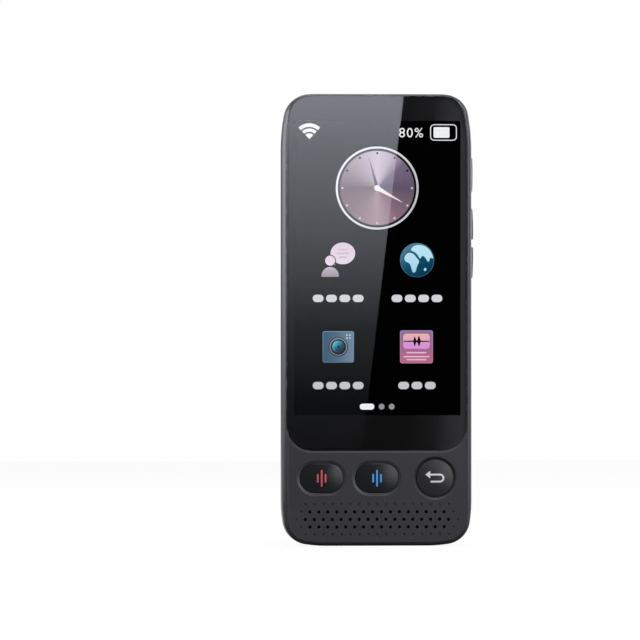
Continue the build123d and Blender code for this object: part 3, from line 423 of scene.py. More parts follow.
def printed(name, loops, key, dome):
    """A printed mark that follows the domed face of a key, cut into small cells so it bends."""
    low, high = millimetres(key)
    x, z = (low.x + high.x) / 2, (low.z + high.z) / 2
    mark = slab(name, [[(x + right, z + up) for right, up in loop] for loop in loops],
                low.y, low.y + INK_DEPTH)
    cells = bmesh.new()
    cells.from_mesh(mark.data)
    for step in range(-INK_STEPS, INK_STEPS + 1):
        cuts = (((x + step * INK_STEP, 0, 0), (1, 0, 0)), ((0, 0, z + step * INK_STEP), (0, 0, 1)))
        for place, way in cuts:
            everything = cells.verts[:] + cells.edges[:] + cells.faces[:]
            bmesh.ops.bisect_plane(cells, geom=everything, plane_co=Vector(place) * MM, plane_no=way)
    middle = (low.y + INK_DEPTH / 2) * MM
    for vertex in cells.verts:
        away = hypot(vertex.co.x / MM - x, vertex.co.z / MM - z)
        face = low.y + dome - sqrt(dome ** 2 - away ** 2)
        depth = -INK if vertex.co.y < middle else INK_DEPTH
        vertex.co.y = (face + depth) * MM
    cells.to_mesh(mark.data)
    cells.free()
    return mark


def return_arrow():
    """An arrow that turns back on itself, in one outline."""
    half, bend, shaft, foot = 0.27, 1.05, 1.4, -1.2
    head, tip, wing = -1.5, -3.0, 1.15
    loop = [(tip, bend), (head, bend - wing), (head, bend - half)]
    loop += arc(shaft, 0, bend - half, 90, -90, 16)
    loop += arc(foot, -bend, half, 90, 270, 8)
    loop += arc(shaft, 0, bend + half, -90, 90, 20)
    return [loop + [(head, bend + half), (head, bend + wing)]]


dress(grained("talk_gloss", TALK_COLOUR, 0.22, 0.6, 0.0004, spread=0.03), "left_talk_key", "right_talk_key")
dress(grained("back_satin", BACK_COLOUR, 0.34, 0.08, 0.002, edge=KEY_EDGE_WEAR_AND_HIGHLIGHT), "back_key")
talk_bars = [rounded_box(place * BAR_PITCH, 0, BAR_WIDTH, height, BAR_WIDTH / 2 - 0.01)
             for place, height in ((-1, SHORT_BAR), (0, LONG_BAR), (1, SHORT_BAR))]
for side, colour in (("left", srgb(196, 72, 88)), ("right", srgb(52, 150, 226))):
    ink = grained(f"{side}_ink", colour, 0.45, 0.05, 0.001, drift=0.15)
    mark = printed(f"{side}_talk_mark", talk_bars, f"{side}_talk_key", TALK_DOME)
    fit(mark, f"{side}_talk_key", ink)
pale_ink = grained("pale_ink", srgb(205, 206, 210), 0.45, 0.05, 0.001, drift=0.1)
fit(printed("back_mark", return_arrow(), "back_key", BACK_DOME), "back_key", pale_ink)

# ---------------- side keys
# Three narrow keys through slots in the frame's right wall, each with a flange behind the
# wall. They are moulded in the casing's colour and left satin.

dress(grained("side_satin", (0.024, 0.024, 0.027, 1), 0.40, 0.08, 0.002, edge=CASING_EDGE_WEAR_AND_HIGHLIGHT),
      "power_key", "volume_up_key", "volume_down_key")

# ---------------- cover glass
# One millimetre of hardened glass with a rounded front edge, held on foam tape. Its back is
# printed with a dark border that leaves a window for the display.

BORDER_INSET = 0.08
BORDER_INK = 0.012
# The border's grey grows lighter towards the right: a painted reflection, not the ink's own tone.
BORDER_SHEEN_GREYS = ((0.0, 0.0072), (0.5, 0.0135), (1.0, 0.040))
BORDER_SHEEN_SPAN = (9.0, 25.5)
BLUE_CAST = 1.06
SMUDGES = (0.5, 0.8, 0.0, 0.02)    # heights of the grain and the roughness they give
WINDOW_LEFT = -24.75
WINDOW_RIGHT = 25.15
WINDOW_BASE = 39.1
WINDOW_TOP = 127.3
WINDOW_CORNER = 0.1


def outputs_mixed(tree, share, first, second):
    """Ends a material in a mix of two shaders."""
    both = put(tree, "ShaderNodeMixShader", {0: share, 1: first, 2: second})
    feed(tree, tree.nodes["Material Output"].inputs, Surface=both)


def make_glass(name, colour, **values):
    """Clear glass that lets the light of lamps through to what lies behind it."""
    made, tree, shader = principled(name, colour, 0.0, Transmission_Weight=1.0, **values)
    smudge = put(tree, "ShaderNodeGroup", {"Pitch": 6.0, "Drift": 0.1}, node_tree=fine_grain)
    feed(tree, shader.inputs, Roughness=remap(tree, smudge.outputs["Height"], *SMUDGES))
    rays = put(tree, "ShaderNodeLightPath")
    outputs_mixed(tree, rays.outputs["Is Shadow Ray"], shader, put(tree, "ShaderNodeBsdfTransparent"))
    return made


def share_of(tree, value, low, high):
    """How far a length has come from low to high, in millimetres."""
    return remap(tree, value, low * MM, high * MM)


def ramped(tree, share, stops):
    """A colour read at a share from 0 to 1, out of pairs of a share and a colour."""
    ramp = put(tree, "ShaderNodeValToRGB", {"Fac": share})
    elements = ramp.color_ramp.elements
    while len(elements) < len(stops):
        elements.new(0.5)
    for element, (position, colour) in zip(elements, stops):
        element.position = position
        element.color = colour
    return ramp


def ink_with_painted_sheen(name, greys, low, high):
    """Glossy ink with a painted reflection: its grey changes along X between two places."""
    made, tree, shader = principled(name, (0, 0, 0, 1), 0.04)
    across = put(tree, "ShaderNodeSeparateXYZ", {0: where(tree)}).outputs["X"]
    stops = [(position, (grey, grey, grey * BLUE_CAST, 1)) for position, grey in greys]
    feed(tree, shader.inputs, Base_Color=ramped(tree, share_of(tree, across, low, high), stops))
    return made


def rear_outline(name, inset):
    """The outline of a node's flat rear face, moved inwards, in millimetres."""
    face = bmesh.new()
    face.from_mesh(nodes[name].data)
    bmesh.ops.remove_doubles(face, verts=face.verts, dist=MM * 1e-4)
    rear = max(v.co.y for v in face.verts) - MM * 1e-2
    bmesh.ops.delete(face, geom=[v for v in face.verts if v.co.y < rear], context="VERTS")
    start = next(v for v in face.verts if any(e.is_boundary for e in v.link_edges))
    loop, before, here = [], None, start
    while not loop or here is not start:
        loop.append(Vector((here.co.x, here.co.z)) / MM)
        edges = [e for e in here.link_edges if e.is_boundary and e is not before]
        before = edges[0]
        here = before.other_vert(here)
    face.free()
    area = sum(a.x * b.y - b.x * a.y for a, b in zip(loop, loop[1:] + loop[:1]))
    moved = []
    for last, point, following in zip(loop[-1:] + loop[:-1], loop, loop[1:] + loop[:1]):
        run = ((following - point).normalized() + (point - last).normalized()).normalized()
        inward = Vector((-run.y, run.x)) * (1 if area > 0 else -1)
        moved.append(tuple(point + inward * inset))
    return moved


dress(make_glass("cover_clear", (0.96, 0.97, 0.98, 1), IOR=1.553), "cover_glass")
glass_rear = millimetres("cover_glass")[1].y
window = rounded_box((WINDOW_LEFT + WINDOW_RIGHT) / 2, (WINDOW_BASE + WINDOW_TOP) / 2,
                     WINDOW_RIGHT - WINDOW_LEFT, WINDOW_TOP - WINDOW_BASE, WINDOW_CORNER)
border = slab("printed_border", [rear_outline("cover_glass", BORDER_INSET), window],
              glass_rear - BORDER_INK, glass_rear)
# The printed border carries a painted reflection that grows lighter towards the right.
fit(border, "device", ink_with_painted_sheen("border_ink_with_painted_sheen", BORDER_SHEEN_GREYS, *BORDER_SHEEN_SPAN))
dress(grained("tape_foam", (0.010, 0.010, 0.010, 1), 0.85, 0.12, 0.02, spread=0.1), "display_tape")

# ---------------- display
# A liquid crystal module in a thin case, black where it is dark. Its picture has a status row,
# a clock, four functions with a label bar each, and three marks for the pages.

LAYER = 0.015
FINE = 128
LINE, LINE_CORNER = 0.42, 0.2
SQUARE_CORNER, RIM_CORNER, RIM_LINE = 0.6, 0.45, 0.18
ACROSS = (1.0, 0.0, 0.0)
UP = (0.0, 0.0, 1.0)
panel_front = millimetres("display_panel")[0].y

display_black = grained("display_black", (0.0006, 0.0006, 0.0007, 1), 0.30, 0.3, 0.0005,
                        Specular_IOR_Level=0.0)
dress(display_black, "display_panel")


def start_lit(name):
    """A material that shines and doesn't reflect."""
    return principled(name, (0, 0, 0, 1), 0.4, Emission_Strength=1.0, Specular_IOR_Level=0.0)


def paint_light(tree, shader, share, stops):
    """Feeds the light of a material from stops of a share and three display values."""
    light = ramped(tree, share, [(position, srgb(*colour)) for position, *colour in stops])
    feed(tree, shader.inputs, Emission_Color=light)


def glowing(name, low, high, *stops, along=UP):
    """Lit picture whose colour changes along a direction from low to high, in millimetres."""
    made, tree, shader = start_lit(name)
    height = vectors(tree, "DOT_PRODUCT", where(tree), along).outputs["Value"]
    paint_light(tree, shader, share_of(tree, height, low, high), stops)
    return made


def dial_light(name, x, z, *stops):
    """Lit picture whose colours sweep round a middle, from the left by way of the base."""
    made, tree, shader = start_lit(name)
    centred = vectors(tree, "SUBTRACT", where(tree), (x * MM, 0.0, z * MM))
    parts = put(tree, "ShaderNodeSeparateXYZ", {0: centred}).outputs
    flat = put(tree, "ShaderNodeCombineXYZ", {0: parts[0], 1: parts[2]})
    sweep = put(tree, "ShaderNodeTexGradient", {"Vector": flat}, gradient_type="RADIAL")
    paint_light(tree, shader, sweep.outputs["Fac"], stops)
    return made


def shown(name, loops, layer, made):
    """A figure of the picture, on its layer in front of the display."""
    rear = panel_front - layer * LAYER
    fit(slab(name, loops, rear - LAYER, rear), "device", made)


def band(x, z, inner, outer, start, end):
    """A closed piece of a ring."""
    return arc(x, z, outer, start, end) + arc(x, z, inner, end, start)


def ring(x, z, outer, inner, steps=64):
    """The two edges of a ring."""
    return [circle(x, z, outer, steps), circle(x, z, inner, steps)]


def square(x, z, size):
    """A square with round corners."""
    return [rounded_box(x, z, size, size, SQUARE_CORNER)]


def rim_of(x, z, size):
    """The two edges of a thin frame round such a square."""
    inner = size - 2 * RIM_LINE
    return square(x, z, size) + [rounded_box(x, z, inner, inner, RIM_CORNER)]


def lines_at(middle, base, *rows):
    """Level lines with round ends, each by its length and its height above a base."""
    return [rounded_box(middle, base + up, wide, LINE, LINE_CORNER) for wide, up in rows]


# Status row: a signal fan, the charge as a number, and the battery sign filled to match it.
FAN_X, FAN_Z, FAN_HALF, FAN_DOT = -20.25, 121.75, 43, 1.75
FAN_RINGS = ((3.68, 4.75), (2.25, 3.2))
STATUS_Z = 123.85
BATTERY_X, BATTERY_WIDTH, BATTERY_HEIGHT, BATTERY_CORNER, BATTERY_LINE = 20.05, 8.0, 4.9, 1.2, 0.25
CHARGE, CHARGE_ROOM, CHARGE_HEIGHT, CHARGE_CORNER = 0.8, 6.0, 3.2, 0.4
NUMBER_X, NUMBER_Z, NUMBER_HEIGHT, NUMBER_SPACING = 6.7, 122.4, 2.95, 1.16
DIGIT_SHARE = 0.73
WHITE, SOFT_WHITE, GREY = (252, 252, 253), (236, 236, 240), (150, 152, 156)

plain_white = glowing("plain_white", WINDOW_TOP, WINDOW_BASE, (0, *WHITE), (1, *SOFT_WHITE))
fan = [band(FAN_X, FAN_Z, inner, outer, 90 - FAN_HALF, 90 + FAN_HALF) for inner, outer in FAN_RINGS]
fan.append([(FAN_X, FAN_Z)] + arc(FAN_X, FAN_Z, FAN_DOT, 90 - FAN_HALF, 90 + FAN_HALF))
shown("signal_fan", fan, 0, plain_white)
shown("battery_sign", [
    rounded_box(BATTERY_X, STATUS_Z, BATTERY_WIDTH - 2 * line, BATTERY_HEIGHT - 2 * line,
                BATTERY_CORNER - line) for line in (0, BATTERY_LINE)], 0, plain_white)
charge_middle = BATTERY_X - CHARGE_ROOM * (1 - CHARGE) / 2
shown("battery_charge", [rounded_box(charge_middle, STATUS_Z, CHARGE_ROOM * CHARGE, CHARGE_HEIGHT,
                                     CHARGE_CORNER)], 0, plain_white)


def number(name, words, x, z):
    """Digits as a thin plate, set from the left at their base line."""
    text = bpy.data.curves.new(name, "FONT")
    text.body = words
    text.size = NUMBER_HEIGHT / DIGIT_SHARE
    text.space_character = NUMBER_SPACING
    text.extrude = LAYER / 2
    text.resolution_u = 6
    mesh = plain_mesh(new_piece(name, text))
    left = min(v.co.x for v in mesh.vertices)
    mesh.transform(Matrix.Translation(((x - left) * MM, 0, z * MM)) @ stood(panel_front - LAYER / 2))
    return new_piece(name, mesh)


fit(number("charge_number", f"{CHARGE:.0%}", NUMBER_X, NUMBER_Z), "device", plain_white)

# Clock: a white ring, a dark gap, a face with the sheen of turned metal, dots and two hands.
CLOCK = (0.12, 107.16)
CLOCK_X, CLOCK_Z = CLOCK
CLOCK_RING, CLOCK_RIM, CLOCK_FACE, CLOCK_HUB = 12.45, 11.83, 11.15, 0.88
DOT_RADIUS, DOT_CIRCLE, DOTS, DOT_SIDES = 0.34, 10.44, 12, 20
MINUTE_HAND = (9.4, 1.15, -15.2)
HOUR_HAND = (8.7, 1.35, 119.5)
HAND_TIP = 0.06
shown("clock_ring", ring(*CLOCK, CLOCK_RING, CLOCK_RIM, FINE), 0, dial_light(
    "ring_light", *CLOCK, (0, 250, 250, 252), (0.25, 224, 222, 226), (0.5, 204, 202, 208),
    (0.75, 240, 240, 244), (1, 250, 250, 252)))
shown("clock_gap", ring(*CLOCK, CLOCK_RIM, CLOCK_FACE, FINE), 0, glowing(
    "gap_light", CLOCK_X - CLOCK_FACE, CLOCK_X + CLOCK_FACE, (0, 62, 60, 68), (1, 26, 24, 32), along=ACROSS))
shown("clock_face", [circle(*CLOCK, CLOCK_FACE, FINE)], 0, dial_light(
    "face_light", *CLOCK, (0.0, 128, 111, 121), (0.12, 146, 126, 136), (0.25, 178, 151, 160),
    (0.36, 140, 112, 126), (0.5, 100, 88, 108), (0.62, 126, 108, 134), (0.69, 196, 180, 198),
    (0.75, 214, 200, 216), (0.81, 196, 182, 198), (0.9, 168, 154, 164), (1.0, 128, 111, 121)))


def make_dots():
    """Equal round dots on a circle, stood up to face the front."""
    tree, given, result = start_shape("dots", Count=12, Circle=0.01, Radius=0.001, Depth=0.00001)
    line = put(tree, "GeometryNodeMeshCircle", {"Vertices": given["Count"], "Radius": given["Circle"]})
    dot = put(tree, "GeometryNodeMeshCylinder",
              {"Vertices": DOT_SIDES, "Radius": given["Radius"], "Depth": given["Depth"]})
    return end_shape(tree, given, result, copied(tree, line, dot), (pi / 2, 0, 0))


dot_light = glowing("dot_light", CLOCK_Z - DOT_CIRCLE, CLOCK_Z + DOT_CIRCLE, (0, 222, 204, 218),
                    (0.55, 214, 196, 210), (0.68, 24, 14, 24), (1, 20, 10, 20))
clock_dots = grown("clock_dots", make_dots(), Count=DOTS, Circle=DOT_CIRCLE * MM,
                   Radius=DOT_RADIUS * MM, Depth=LAYER * MM, Material=dot_light,
                   Place=(CLOCK_X * MM, (panel_front - 1.5 * LAYER) * MM, CLOCK_Z * MM))
fit(clock_dots, "device")


def hand(length, width, turn):
    """A clock hand as a long triangle, turned clockwise from the top, in degrees."""
    way = radians(90 - turn)
    along, across = (cos(way), sin(way)), (-sin(way), cos(way))
    corners = ((0, width / 2), (0, -width / 2), (length, -HAND_TIP), (length, HAND_TIP))
    return [[(CLOCK_X + a * along[0] + b * across[0], CLOCK_Z + a * along[1] + b * across[1])
             for a, b in corners]]


shown("minute_hand", hand(*MINUTE_HAND), 1, glowing(
    "minute_light", CLOCK_Z, CLOCK_Z + 9, (0, 104, 82, 106), (1, 160, 142, 164)))
shown("hour_hand", hand(*HOUR_HAND), 1, glowing(
    "hand_light", CLOCK_X, CLOCK_X + 8, (0, 252, 250, 252), (0.5, 246, 222, 226), (1, 250, 240, 244),
    along=ACROSS))
shown("clock_hub", [circle(*CLOCK, CLOCK_HUB)], 2, plain_white)

# Talk function: a bubble with lines of speech, and the head and shoulders of who speaks.
BUBBLE_X, BUBBLE_Z, BUBBLE_WIDE, BUBBLE_HIGH = -10.2, 87.57, 3.7, 3.25
BUBBLE_START, BUBBLE_END, BUBBLE_TIP = -128, 213, (-12.6, 83.95)
SPEAKER_X, HEAD_Z, HEAD_RADIUS, HEAD_GAP = -14.0, 85.4, 1.5, 1.75
SHOULDERS_Z, SHOULDERS_RADIUS, SHOULDERS_BASE, SHOULDERS_HALF = 80.9, 2.6, 80.55, 2.55
pink_light = glowing("pink_light", 82.0, 91.0, (0, 250, 232, 246), (0.5, 238, 218, 234),
                     (1, 232, 214, 228))
bubble = [(BUBBLE_X + BUBBLE_WIDE * cos(radians(t)), BUBBLE_Z + BUBBLE_HIGH * sin(radians(t)))
          for t in range(BUBBLE_START, BUBBLE_END, 4)]
shown("speech_bubble", [bubble + [BUBBLE_TIP]], 0, pink_light)
shown("speech_lines", lines_at(BUBBLE_X, BUBBLE_Z, (2.9, 1.15), (3.7, 0.0), (2.3, -1.15)), 1,
      glowing("line_light", 86, 89, (0, 206, 184, 206), (1, 214, 196, 212)))
shown("speaker_gap", [circle(SPEAKER_X, HEAD_Z, HEAD_GAP)], 1, display_black)
shown("speaker_head", [circle(SPEAKER_X, HEAD_Z, HEAD_RADIUS)], 2, pink_light)
shoulders = [(SPEAKER_X + SHOULDERS_HALF, SHOULDERS_BASE)]
shoulders += arc(SPEAKER_X, SHOULDERS_Z, SHOULDERS_RADIUS, 0, 180)
shoulders.append((SPEAKER_X - SHOULDERS_HALF, SHOULDERS_BASE))
shown("speaker_shoulders", [shoulders], 0, glowing(
    "lilac_grey", 80.5, 83.6, (0, 164, 150, 166), (0.7, 192, 176, 192), (1, 216, 204, 216)))

# Language function: a globe with broad land of no real outline and a faint rim.
GLOBE_X, GLOBE_Z, GLOBE, GLOBE_LINE = 12.1, 85.56, 5.13, 0.16
SEA_SLANT = (-0.6, 0.0, 0.8)
SEA_MIDDLE = GLOBE_X * SEA_SLANT[0] + GLOBE_Z * SEA_SLANT[2]
LANDS = (
    ((-2.1, 3.0), (-1.0, 4.4), (1.2, 4.7), (3.3, 3.7), (4.5, 2.0), (4.95, 0.3), (3.9, 0.9), (3.5, -0.9),
     (2.5, 0.8), (1.5, 1.5), (0.9, 0.2), (0.3, 1.4), (-0.7, 2.5)),
    ((-3.5, 1.5), (-2.6, 2.3), (-1.1, 2.0), (-0.3, 0.9), (0.8, -0.3), (0.0, -1.7), (-0.4, -3.5),
     (-1.3, -3.9), (-1.8, -2.1), (-2.2, -0.9), (-3.6, -0.4), (-3.9, 0.6)),
    ((1.9, -2.6), (2.7, -2.2), (2.9, -3.0), (2.2, -3.4)),
)


def softened(loop, rounds=2):
    """The loop with its corners cut to smooth ones."""
    for _ in range(rounds):
        loop = [(a * p + c * (1 - p), b * p + d * (1 - p))
                for (a, b), (c, d) in zip(loop, loop[1:] + loop[:1]) for p in (0.75, 0.25)]
    return loop


shown("globe_sea", [circle(GLOBE_X, GLOBE_Z, GLOBE)], 0, glowing(
    "sea_light", SEA_MIDDLE - GLOBE, SEA_MIDDLE + GLOBE, (0, 8, 60, 84), (0.45, 16, 78, 106),
    (0.75, 52, 106, 134), (1, 88, 130, 152), along=SEA_SLANT))
shown("globe_rim", ring(GLOBE_X, GLOBE_Z, GLOBE, GLOBE - GLOBE_LINE), 1, glowing(
    "globe_edge", GLOBE_Z - GLOBE, GLOBE_Z + GLOBE, (0, 36, 100, 130), (1, 104, 146, 168)))
shown("globe_land", [softened([(GLOBE_X + x, GLOBE_Z + z) for x, z in land]) for land in LANDS], 1, glowing(
    "land_light", GLOBE_Z - GLOBE, GLOBE_Z + GLOBE, (0, 166, 216, 240), (0.5, 186, 234, 250),
    (1, 202, 244, 255)))

# Picture function: a camera's lens on a square, with four dots beside it.
SHOT = (-11.55, 59.58)
SHOT_X, SHOT_Z = SHOT
SHOT_SIZE, SHOT_DARK, SHOT_RING, SHOT_LENS = 9.4, 2.9, (2.62, 2.36), 1.85
SHOT_DOTS, SHOT_DOT, SHOT_STEP = (3.05, 3.1), 0.24, 0.45
GLEAM_SLANT = (-0.7, 0.0, 0.7)
GLEAM = SHOT_X * GLEAM_SLANT[0] + SHOT_Z * GLEAM_SLANT[2]
GLEAM_REACH, GLEAM_BAND, GLEAM_DOT = 1.9, (0.85, 1.05, 190, 330), 0.35
dark_light = glowing("dark_light", SHOT_Z - 3, SHOT_Z + 3, (0, 12, 16, 22), (1, 30, 40, 52))
shown("shot_square", square(*SHOT, SHOT_SIZE), 0, glowing(
    "shot_light", SHOT_X - SHOT_SIZE / 2, SHOT_X + SHOT_SIZE / 2, (0, 60, 94, 120), (0.4, 76, 108, 132),
    (1, 116, 142, 164), along=ACROSS))
shown("shot_frame", rim_of(*SHOT, SHOT_SIZE), 1, glowing(
    "frame_light", SHOT_Z - SHOT_SIZE / 2, SHOT_Z + SHOT_SIZE / 2, (0, 96, 130, 154), (1, 134, 164, 186)))
shown("shot_dark", [circle(*SHOT, SHOT_DARK)], 1, dark_light)
shown("shot_ring", ring(*SHOT, *SHOT_RING), 2, glowing(
    "pale_light", SHOT_Z - 3, SHOT_Z + 3, (0, 132, 136, 144), (1, 176, 174, 178)))
shown("shot_lens", [circle(*SHOT, SHOT_LENS)], 2, glowing(
    "teal_light", GLEAM - GLEAM_REACH, GLEAM + GLEAM_REACH, (0, 14, 38, 54), (0.4, 28, 84, 108),
    (0.75, 58, 156, 184), (1, 110, 214, 232), along=GLEAM_SLANT))
shown("shot_gleam", [band(*SHOT, *GLEAM_BAND), circle(*SHOT, GLEAM_DOT, 24)], 3, dark_light)
shown("shot_dots", [circle(SHOT_X + SHOT_DOTS[0] + SHOT_STEP * i, SHOT_Z + SHOT_DOTS[1] + SHOT_STEP * j,
                           SHOT_DOT, 16) for i in (-1, 1) for j in (-1, 1)], 1, glowing(
    "dot_white", SHOT_Z, SHOT_Z + 4, (0, 196, 214, 230), (1, 216, 230, 242)))

# Record function: a sound wave on a panel, with lines of notes below it.
NOTE = (11.92, 59.58)
NOTE_X, NOTE_Z = NOTE
NOTE_SIZE = 9.85
WAVE_Z, WAVE_PANEL = 61.26, (8.0, 4.55, 1.0)
NOTES = ((6.0, 57.85), (7.9, 56.65), (6.0, 55.75))
WAVE = (
    (-3.9, 0.14), (-0.95, 0.2), (-0.75, 0.9), (-0.5, 1.45), (-0.3, 1.1), (-0.1, 0.3), (0.3, 0.3),
    (0.5, 1.2), (0.8, 1.65), (1.05, 0.9), (1.25, 0.2), (3.9, 0.14),
    (3.9, -0.14), (1.25, -0.2), (1.0, -1.1), (0.75, -1.6), (0.5, -1.0), (0.3, -0.3), (-0.1, -0.3),
    (-0.35, -1.3), (-0.55, -1.55), (-0.8, -0.8), (-0.95, -0.2), (-3.9, -0.14),
)
NOTE_BASE, NOTE_TOP = NOTE_Z - NOTE_SIZE / 2, NOTE_Z + NOTE_SIZE / 2
shown("note_square", square(*NOTE, NOTE_SIZE), 0, glowing(
    "note_light", NOTE_BASE, NOTE_TOP, (0, 192, 112, 142), (0.5, 170, 108, 150), (1, 150, 116, 166)))
shown("note_edge", rim_of(*NOTE, NOTE_SIZE), 1, glowing(
    "edge_light", NOTE_BASE, NOTE_TOP, (0, 196, 132, 164), (1, 184, 156, 198)))
shown("note_panel", [rounded_box(NOTE_X, WAVE_Z, *WAVE_PANEL)], 1, glowing(
    "wave_light", 59.0, 63.5, (0, 224, 154, 230), (0.48, 230, 160, 206), (0.52, 238, 172, 196),
    (1, 246, 190, 178)))
shown("note_wave", [[(NOTE_X + x, WAVE_Z + z) for x, z in WAVE]], 2, glowing(
    "night_light", 58, 64, (0, 20, 6, 20), (1, 14, 6, 18)))
shown("note_lines", lines_at(NOTE_X, 0, *NOTES), 1, glowing(
    "lilac_light", 55, 58, (0, 250, 190, 212), (1, 244, 198, 226)))

# Label bars below the functions, and the marks of the pages.
LABEL_BAR, LABEL_GAP, LABEL_HEIGHT, LABEL_CORNER = 3.25, 0.75, 2.2, 0.49
LABELS = (("talk_label", -11.6, 74.1, 4), ("language_label", 12.06, 74.1, 4),
          ("picture_label", -11.6, 48.0, 4), ("record_label", 12.06, 48.0, 3))
PAGE_Z, PILL_X, PAGE_PILL, PAGE_DOTS, PAGE_DOT = 41.67, -2.93, (4.35, 1.8, 0.88), (1.44, 4.47), 0.87


def make_bars():
    """One bar with round ends, stood up to face the front."""
    tree, given, result = start_shape("bars", Width=0.003, Height=0.001, Depth=0.00001)
    outline = put(tree, "GeometryNodeCurvePrimitiveQuadrilateral",
                  {"Width": given["Width"], "Height": given["Height"]})
    corner = sums(tree, "MULTIPLY", given["Height"], LABEL_CORNER)
    rounded = put(tree, "GeometryNodeFilletCurve", {"Curve": outline, "Radius": corner, "Count": 8},
                  mode="POLY")
    filled = put(tree, "GeometryNodeFillCurve", {"Curve": rounded}, mode="NGONS")
    thick = put(tree, "GeometryNodeExtrudeMesh",
                {"Mesh": filled, "Offset Scale": given["Depth"], "Individual": False})
    both = put(tree, "GeometryNodeJoinGeometry")
    link(tree, put(tree, "GeometryNodeFlipFaces", {"Mesh": filled}), both.inputs[0])
    link(tree, thick, both.inputs[0])
    welded = put(tree, "GeometryNodeMergeByDistance", {"Geometry": both, "Distance": 1e-7})
    return end_shape(tree, given, result, welded, (pi / 2, 0, 0))


label_light = glowing("label_light", 48, 74, (0, 206, 207, 210), (1, 222, 222, 226))
bars = make_bars()
bar_rear = (panel_front - 0.1 * LAYER) * MM
for name, x, z, count in LABELS:
    row = [grown(f"{name}_{i}", bars, Width=LABEL_BAR * MM, Height=LABEL_HEIGHT * MM, Depth=LAYER * MM,
                 Place=((x + (i - (count - 1) / 2) * (LABEL_BAR + LABEL_GAP)) * MM, bar_rear, z * MM),
                 Material=label_light) for i in range(count)]
    fit(joined(name, row), "device")
shown("page_pill", [rounded_box(PILL_X, PAGE_Z, *PAGE_PILL)], 0,
      glowing("page_white", 0, 1, (0, *WHITE), (1, *WHITE)))
shown("page_dots", [circle(x, PAGE_Z, PAGE_DOT) for x in PAGE_DOTS], 0,
      glowing("page_grey", 0, 1, (0, *GREY), (1, *GREY)))

# ---------------- rear camera
# A window in a polished ring on the mound. Below it a dark spun disc frames the barrel, whose
# steps stop stray light, and coated lenses lie in the barrel, the front one with a painted glint.

STEPS, STEP_FIRST, STEP_OUT, STEP_WIRE = 3, 1.98, 0.28, 0.05
STEP_SIDES, WIRE_SIDES = 96, 8
INNER_LENS, INNER_LENS_Y, INNER_LENS_RISE = 1.08, 4.35, 0.22
PUPIL_REACH = 1.15
LENS_REACH = 1.8
# The star of painted highlight on the lens: how many points it has, and how far it is turned.
GLINT_POINTS, GLINT_TURN = 4, 0.5
TURNED_TONE = (0.5, 0.75)    # swing and base of the tone

camera_low, camera_high = millimetres("lens_barrel")
camera_x, camera_z = (camera_low.x + camera_high.x) / 2, (camera_low.z + camera_high.z) / 2
camera_middle = (camera_x * MM, 0.0, camera_z * MM)


def flat_from(tree, middle):
    """The way from a middle to each point, without its part along Y."""
    return vectors(tree, "MULTIPLY", vectors(tree, "SUBTRACT", where(tree), middle), (1.0, 0.0, 1.0))


def end_lines(tree, result, lines, swing, base):
    """Gives out the height of fine lines, and their tone as a swing about a base."""
    feed(tree, result, Height=lines, Tone=sums(tree, "MULTIPLY_ADD", lines, swing, base))
    return tree


def make_turned():
    """Fine concentric lines left by a lathe about a middle: their height, and a tone by circle."""
    tree, given, result = start_pattern("turned", {"Middle": NOWHERE, "Pitch": 0.03}, "Height", "Tone")
    radius = vectors(tree, "LENGTH", flat_from(tree, given["Middle"])).outputs["Value"]
    lines = put(tree, "ShaderNodeTexNoise", {"W": radius, "Scale": cells_of(tree, given), "Detail": 2.0},
                noise_dimensions="1D")
    return end_lines(tree, result, lines, *TURNED_TONE)


def lined(name, colour, roughness, pattern, given, relief, **values):
    """Metal with the fine lines of a pattern, and perhaps highlights that run out from its middle."""
    made, tree, shader = principled(name, colour, roughness, **values)
    cut = put(tree, "ShaderNodeGroup", given, node_tree=pattern).outputs
    feed(tree, shader.inputs, Base_Color=toned(tree, colour, cut["Tone"]))
    if relief:
        feed(tree, shader.inputs, Normal=raised(tree, relief, cut["Height"]))
    if "Anisotropic" in values:
        feed(tree, shader.inputs, Tangent=put(tree, "ShaderNodeTangent", direction_type="RADIAL", axis="Y"))
    return made


def spun(name, colour, roughness, pitch, relief, **values):
    """A part turned on a lathe about the camera's middle."""
    return lined(name, colour, roughness, turned, {"Middle": camera_middle, "Pitch": pitch}, relief,
                 **values)


turned = make_turned()
barrel_black = spun("barrel_black", (0.004, 0.004, 0.005, 1), 0.42, 0.2, 0.001)
dress(barrel_black, "lens_barrel")
dress(spun("ring_polish", (0.135, 0.135, 0.142, 1), 0.34, 0.3, 0.0006, Metallic=1.0), "camera_ring")
dress(spun("disc_spun", (0.115, 0.112, 0.116, 1), 0.20, 0.25, 0.0, Metallic=1.0, Anisotropic=0.92,
           Anisotropic_Rotation=0.25), "camera_trim")
dress(grained("module_black", (0.008, 0.008, 0.009, 1), 0.5, 0.08, 0.003, edge=KEY_EDGE_WEAR_AND_HIGHLIGHT), "camera_module")
dress(make_glass("window_clear", (0.95, 0.96, 0.99, 1), IOR=1.5, Thin_Film_Thickness=150.0,
                 Thin_Film_IOR=1.38), "camera_window")


def make_rings():
    """Thin round steps set one outside the other, about an axis that faces the rear."""
    tree, given, result = start_shape("rings", Count=3, First=0.002, Step=0.0003, Wire=0.0001)
    line = put(tree, "GeometryNodeMeshLine", {"Count": given["Count"], "Offset": NOWHERE})
    index = put(tree, "GeometryNodeInputIndex")
    grow = sums(tree, "MULTIPLY_ADD", index, given["Step"], given["First"])
    unit = put(tree, "GeometryNodeCurvePrimitiveCircle", {"Resolution": STEP_SIDES, "Radius": 1.0})
    wire = put(tree, "GeometryNodeCurvePrimitiveCircle", {"Resolution": WIRE_SIDES, "Radius": given["Wire"]})
    tube = put(tree, "GeometryNodeCurveToMesh",
               {"Curve": copied(tree, line, unit, Scale=grow), "Profile Curve": wire})
    return end_shape(tree, given, result, tube, (pi / 2, 0, 0))


